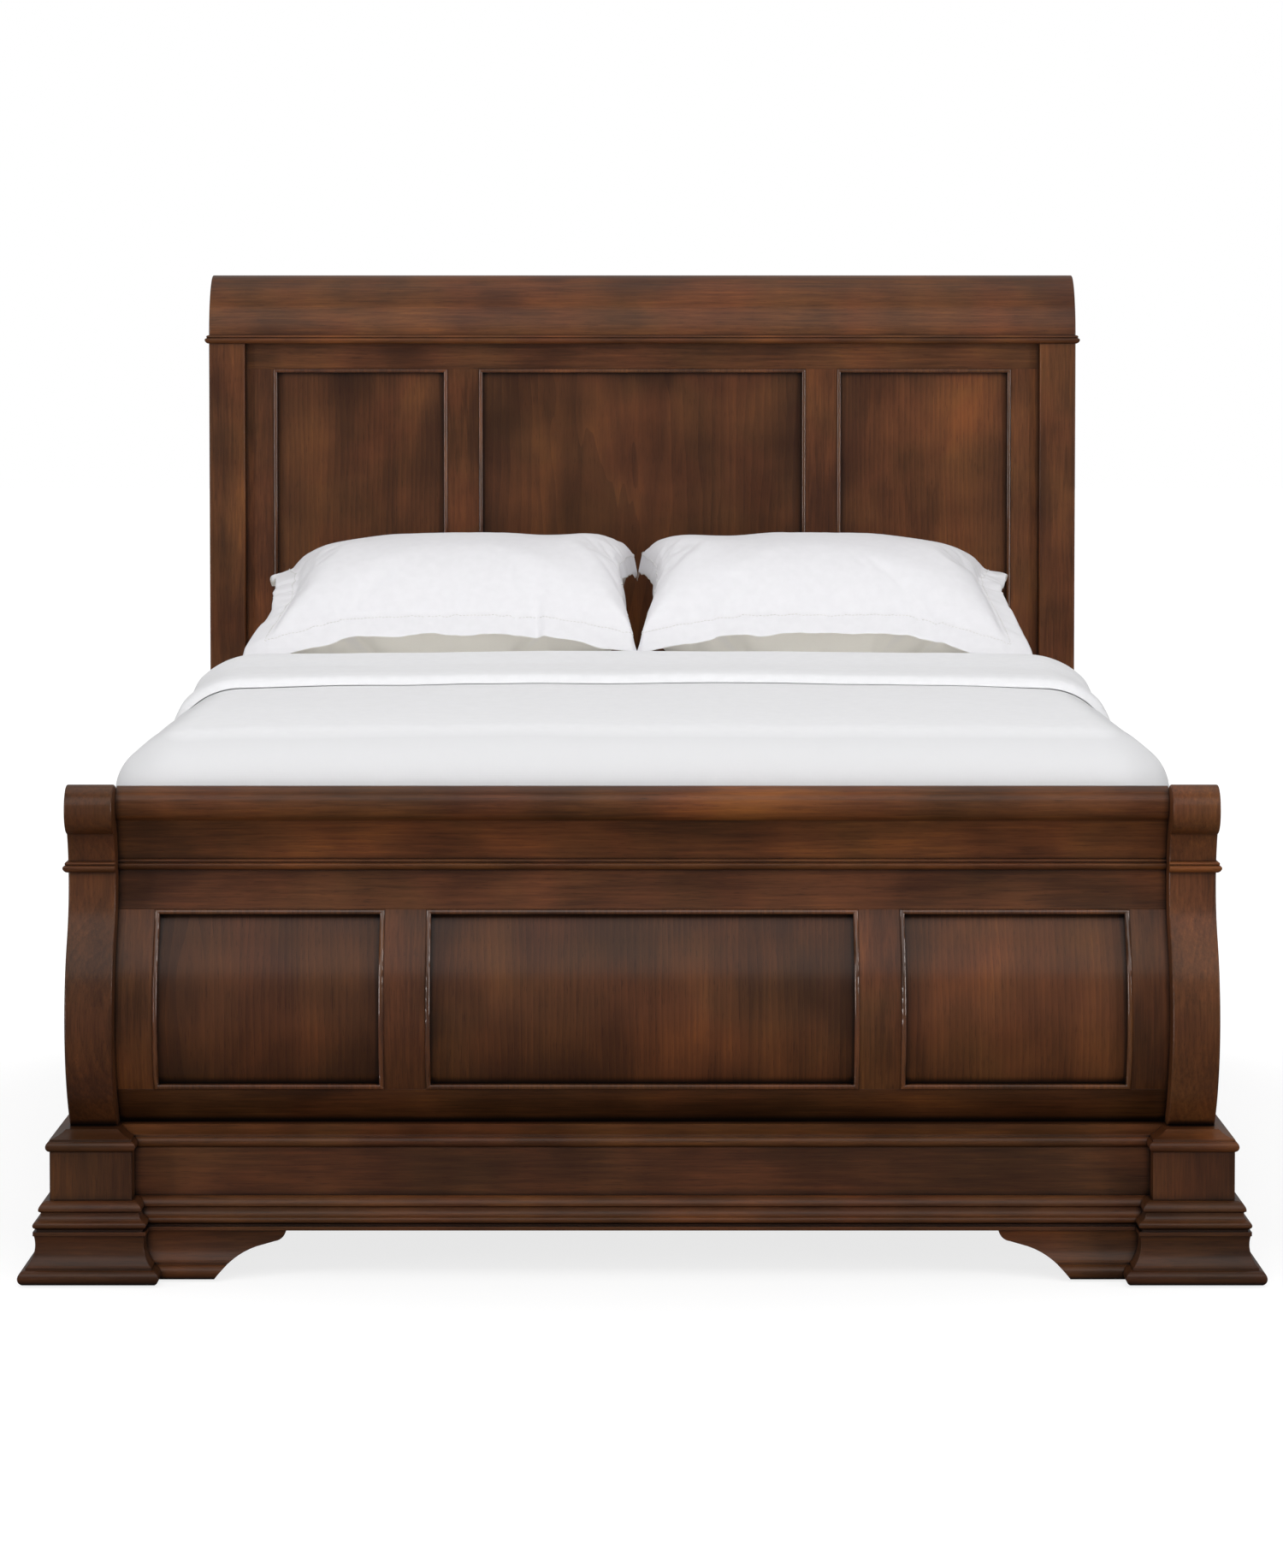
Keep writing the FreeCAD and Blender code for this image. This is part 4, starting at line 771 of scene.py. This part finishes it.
def sham(name, node, seed, centre_x, inner, drops, ear):
    """A pillow in its sham. inner is the side, 1 or -1, that leans on the other pillow, and drops says how
    far its left and right front corners sink."""
    low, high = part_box(node)
    points, quads, above, below, columns, rows = sham_pocket(POCKET_W + POCKET_EASE, POCKET_L + POCKET_EASE,
                                                             seed)
    shape = stuffed(points, quads)
    span, cut = np.abs(shape).max(0), np.abs(np.array(points)).max(0)
    for axis, size in ((0, POCKET_W), (1, POCKET_L)):
        drawn = shape[:, axis] / span[axis]
        straight = np.array(points)[:, axis] / cut[axis]
        shape[:, axis] = (0.5 * drawn + 0.5 * straight) * size / 2
    fill = (np.abs(shape[:, 2]) / span[2]) ** 0.72
    shape[:, 2] = np.where(shape[:, 2] > 0, PUFF_ABOVE, -PUFF_BELOW) * fill
    skins = [with_flange(shape, panel, side, seed, columns, rows)
             for panel, side in ((above, 1), (below, -1))]
    out_x, out_y = skins[0][1], skins[0][2]
    skins = np.stack([skin[0] for skin in skins])
    x, y, depth = skins[..., 0], skins[..., 1], skins[..., 2]
    u = x / (POCKET_W / 2 + FLANGE)
    v = y / (POCKET_L / 2 + FLANGE)
    # the seam climbs from the front edge to the back and bows up in the middle of the front, and the
    # filling sinks until it lies on the sheet
    climb = np.sin(math.pi / 2 * np.clip((v + 1) / 2 * 1.15, 0, 1))
    front = 1 - smooth_step((v + 1) / 0.95)
    seam = REST_Z + SEAM_HEIGHT + SEAM_CLIMB * climb - SEAM_BOW * front * np.abs(u) ** 2.2
    # the far end that leans on the other pillow is pushed up
    lean = smooth_step((inner * u - 0.35) / 0.6) * smooth_step((v + 0.75) / 0.9)
    seam += LEAN_LIFT * lean
    seam += front * (drops[0] * smooth_step((-u - 0.5) / 0.5) + drops[1] * smooth_step((u - 0.5) / 0.5))
    sink = 1.55 + 1.2 * smooth_step((v + 0.95) / 0.9)
    z = seam + np.where(depth > 0, depth * (1 + 0.03 * inner * u), depth * sink)
    hang = np.clip(-out_y, 0, 1)
    # the flange droops in front, less at the back, and least at the outer end
    z = z - 0.024 * hang - 0.014 * np.clip(out_y, 0, 1)
    z = z - 0.012 * np.clip(-out_x * inner, 0, 1) * (1 - hang)
    pressed = np.clip(out_x * inner, 0, 1) * (1 - 0.6 * hang)
    z = z - 0.040 * pressed
    x = x - inner * FLANGE * 0.80 * pressed + centre_x
    x = x - inner * 0.014 * smooth_step((-inner * u - 0.7) / 0.3) * (1 - smooth_step((v + 1) / 0.6))
    z = REST_Z + np.logaddexp(0, (z - REST_Z) / 0.003) * 0.003
    y = y + (low[1] + high[1]) / 2
    if ear:
        # the flange's far outer corner is folded up and forwards
        corner = smooth_step((-u - 0.84) / 0.10) * smooth_step((v - 0.62) / 0.25)
        x, y, z = x + 0.004 * corner, y - 0.034 * corner, z - 0.010 * corner
    place = np.stack([x, y, z], axis=-1)
    wide, deep = place.shape[1], place.shape[2]
    # the two skins are one cloth at the flange's outer edge
    edge = np.zeros((wide, deep), bool)
    edge[[0, -1], :] = edge[:, [0, -1]] = True
    place[1][edge] = place[0][edge]
    mesh = bmesh.new()
    spots = [mesh.verts.new(p) for p in place.reshape(-1, 3)]
    for i in range(wide - 1):
        for j in range(deep - 1):
            quad = [i * deep + j, (i + 1) * deep + j, (i + 1) * deep + j + 1, i * deep + j + 1]
            mesh.faces.new([spots[k] for k in quad])
            mesh.faces.new([spots[k + wide * deep] for k in reversed(quad)])
    bmesh.ops.remove_doubles(mesh, verts=mesh.verts, dist=1e-6)
    mesh.verts.index_update()
    whole = [tuple(v.co) for v in mesh.verts], [[v.index for v in f.verts] for f in mesh.faces]
    mesh.free()
    pad = piece_from(name, *whole, sham_cotton, "white_cotton", (node,), 1)
    # stitches on the flange, one row of cloth out from the seam
    near, right, back = FLANGE_ROWS - 1, columns + FLANGE_ROWS + 1, rows + FLANGE_ROWS + 1
    loop = [place[0, i, near] for i in range(near, right)]
    loop += [place[0, right, j] for j in range(near, back)]
    loop += [place[0, i, back] for i in range(right, near, -1)]
    loop += [place[0, near, j] for j in range(back, near, -1)]
    loop = [p + np.array([0, 0, STITCH_LIFT]) for p in loop]
    rows_of_stitches = along_line(name + "_stitching", sham_stitches, loop, STITCH_RADIUS, STITCH_STEP)
    rows_of_stitches.parent = pad
    return pad


sham_stitches = stitch_tree("sham_stitches", seam_thread)
sham("sham_left", "pillow_left", 2.0, -0.336, 1, (-0.012, 0.006), True)
sham("sham_right", "pillow_right", 7.0, 0.321, -1, (0.006, -0.012), False)


# ---------------------------------------------------------------- studio
def studio_floor():
    """A seamless pale floor: the camera sees it white, and under the bed a soft grey."""
    bpy.ops.mesh.primitive_plane_add(size=80)
    floor = bpy.context.object
    floor.name = "studio_floor"
    material, tree = new_material("pale_studio_floor")
    seen = add(tree, "ShaderNodeLightPath").outputs["Is Camera Ray"]
    place = add(tree, "ShaderNodeTexCoord").outputs["Object"]
    away = add(tree, "ShaderNodeVectorMath", {0: place}, operation="LENGTH").outputs["Value"]
    glow = add(tree, "ShaderNodeMapRange", {"Value": away, "From Min": 1.2, "From Max": 2.3,
                                            "To Min": 0.78, "To Max": 1.0},
               interpolation_type="SMOOTHSTEP").outputs[0]
    lift = add(tree, "ShaderNodeMath", {0: seen, 1: glow}, operation="MULTIPLY")
    shader = add(tree, "ShaderNodeBsdfPrincipled",
                 {"Base Color": linear("#8c8c8c"), "Roughness": 0.9, "Specular IOR Level": 0.0,
                  "Emission Color": linear("#ffffff"), "Emission Strength": lift.outputs[0]})
    add(tree, "ShaderNodeOutputMaterial", {"Surface": shader.outputs[0]})
    floor.data.materials.append(material)


def studio_room():
    """Soft light from a pale room: bright overhead, dim in front of the bed, white behind it."""
    world = bpy.data.worlds.new("studio_room")
    bpy.context.scene.world = world
    world.use_nodes = True
    tree = world.node_tree
    tree.nodes.clear()
    way = add(tree, "ShaderNodeSeparateXYZ", {0: add(tree, "ShaderNodeTexCoord").outputs["Generated"]})
    rise = add(tree, "ShaderNodeMapRange", {"Value": way.outputs["Z"], "From Min": -0.1, "From Max": 0.9,
                                            "To Min": 0.30, "To Max": 0.62})
    depth = add(tree, "ShaderNodeMapRange", {"Value": way.outputs["Y"], "From Min": -0.9, "From Max": 0.1,
                                             "To Min": 0.30, "To Max": 1.0})
    both = add(tree, "ShaderNodeMath", {0: rise.outputs[0], 1: depth.outputs[0]}, operation="MULTIPLY")
    seen = add(tree, "ShaderNodeLightPath").outputs["Is Camera Ray"]
    strength = add(tree, "ShaderNodeMix", {"Factor": seen, "A": both.outputs[0], "B": 1.0},
                   data_type="FLOAT")
    sky = add(tree, "ShaderNodeBackground",
              {"Color": linear("#ffffff"), "Strength": strength.outputs[0]})
    add(tree, "ShaderNodeOutputWorld", {"Surface": sky.outputs[0]})


def softbox(name, place, aim, size, power, lights=True, mirrored=True):
    """An area light. One with lights=False only shows as a highlight in polish, and one with
    mirrored=False leaves no highlight."""
    lamp = bpy.data.lights.new(name, "AREA")
    lamp.shape = "RECTANGLE"
    lamp.size, lamp.size_y = size
    lamp.energy = power
    box = bpy.data.objects.new(name, lamp)
    box.location = place
    box.rotation_euler = (Vector(aim) - Vector(place)).to_track_quat("-Z", "Y").to_euler()
    box.visible_diffuse, box.visible_glossy = lights, mirrored
    bpy.context.scene.collection.objects.link(box)


CAMERA_HEIGHT = 1.313
CAMERA_BACK = 7.5265      # in front of the bed's middle
CAMERA_PITCH = math.radians(2.68)
CAMERA_LENS = 103.3
CAMERA_SHIFT = (-0.0005, -0.1331)


def camera():
    data = bpy.data.cameras.new("camera")
    data.lens = CAMERA_LENS
    data.sensor_width = 36.0
    data.shift_x, data.shift_y = CAMERA_SHIFT
    data.clip_end = 200
    eye = bpy.data.objects.new("camera", data)
    eye.location = (0.0, -CAMERA_BACK, CAMERA_HEIGHT)
    eye.rotation_euler = (math.pi / 2 - CAMERA_PITCH, 0.0, 0.0)
    bpy.context.scene.collection.objects.link(eye)
    bpy.context.scene.camera = eye


studio_floor()
studio_room()
softbox("front_softbox", (0.0, -6.2, 5.8), (0.0, -0.4, 0.7), (7.0, 4.6), 240)
softbox("low_fill", (0.0, -6.4, 1.0), (0.0, 0.0, 0.8), (4.0, 1.2), 58, mirrored=False)
softbox("top_softbox", (0.0, 0.3, 5.5), (0.0, 0.0, 0.0), (4.0, 4.0), 45)
for side, sx in (("left", -1), ("right", 1)):
    softbox(side + "_strip", (5.4 * sx, -4.4, 1.8), (0.4 * sx, 0.0, 0.8), (0.5, 3.4), 110,
            mirrored=False)
    softbox(side + "_card", (5.2 * sx, -4.0, 1.6), (0.0, 0.0, 0.8), (2.2, 3.4), 380, lights=False)
camera()
bpy.context.scene.view_settings.view_transform = "Standard"
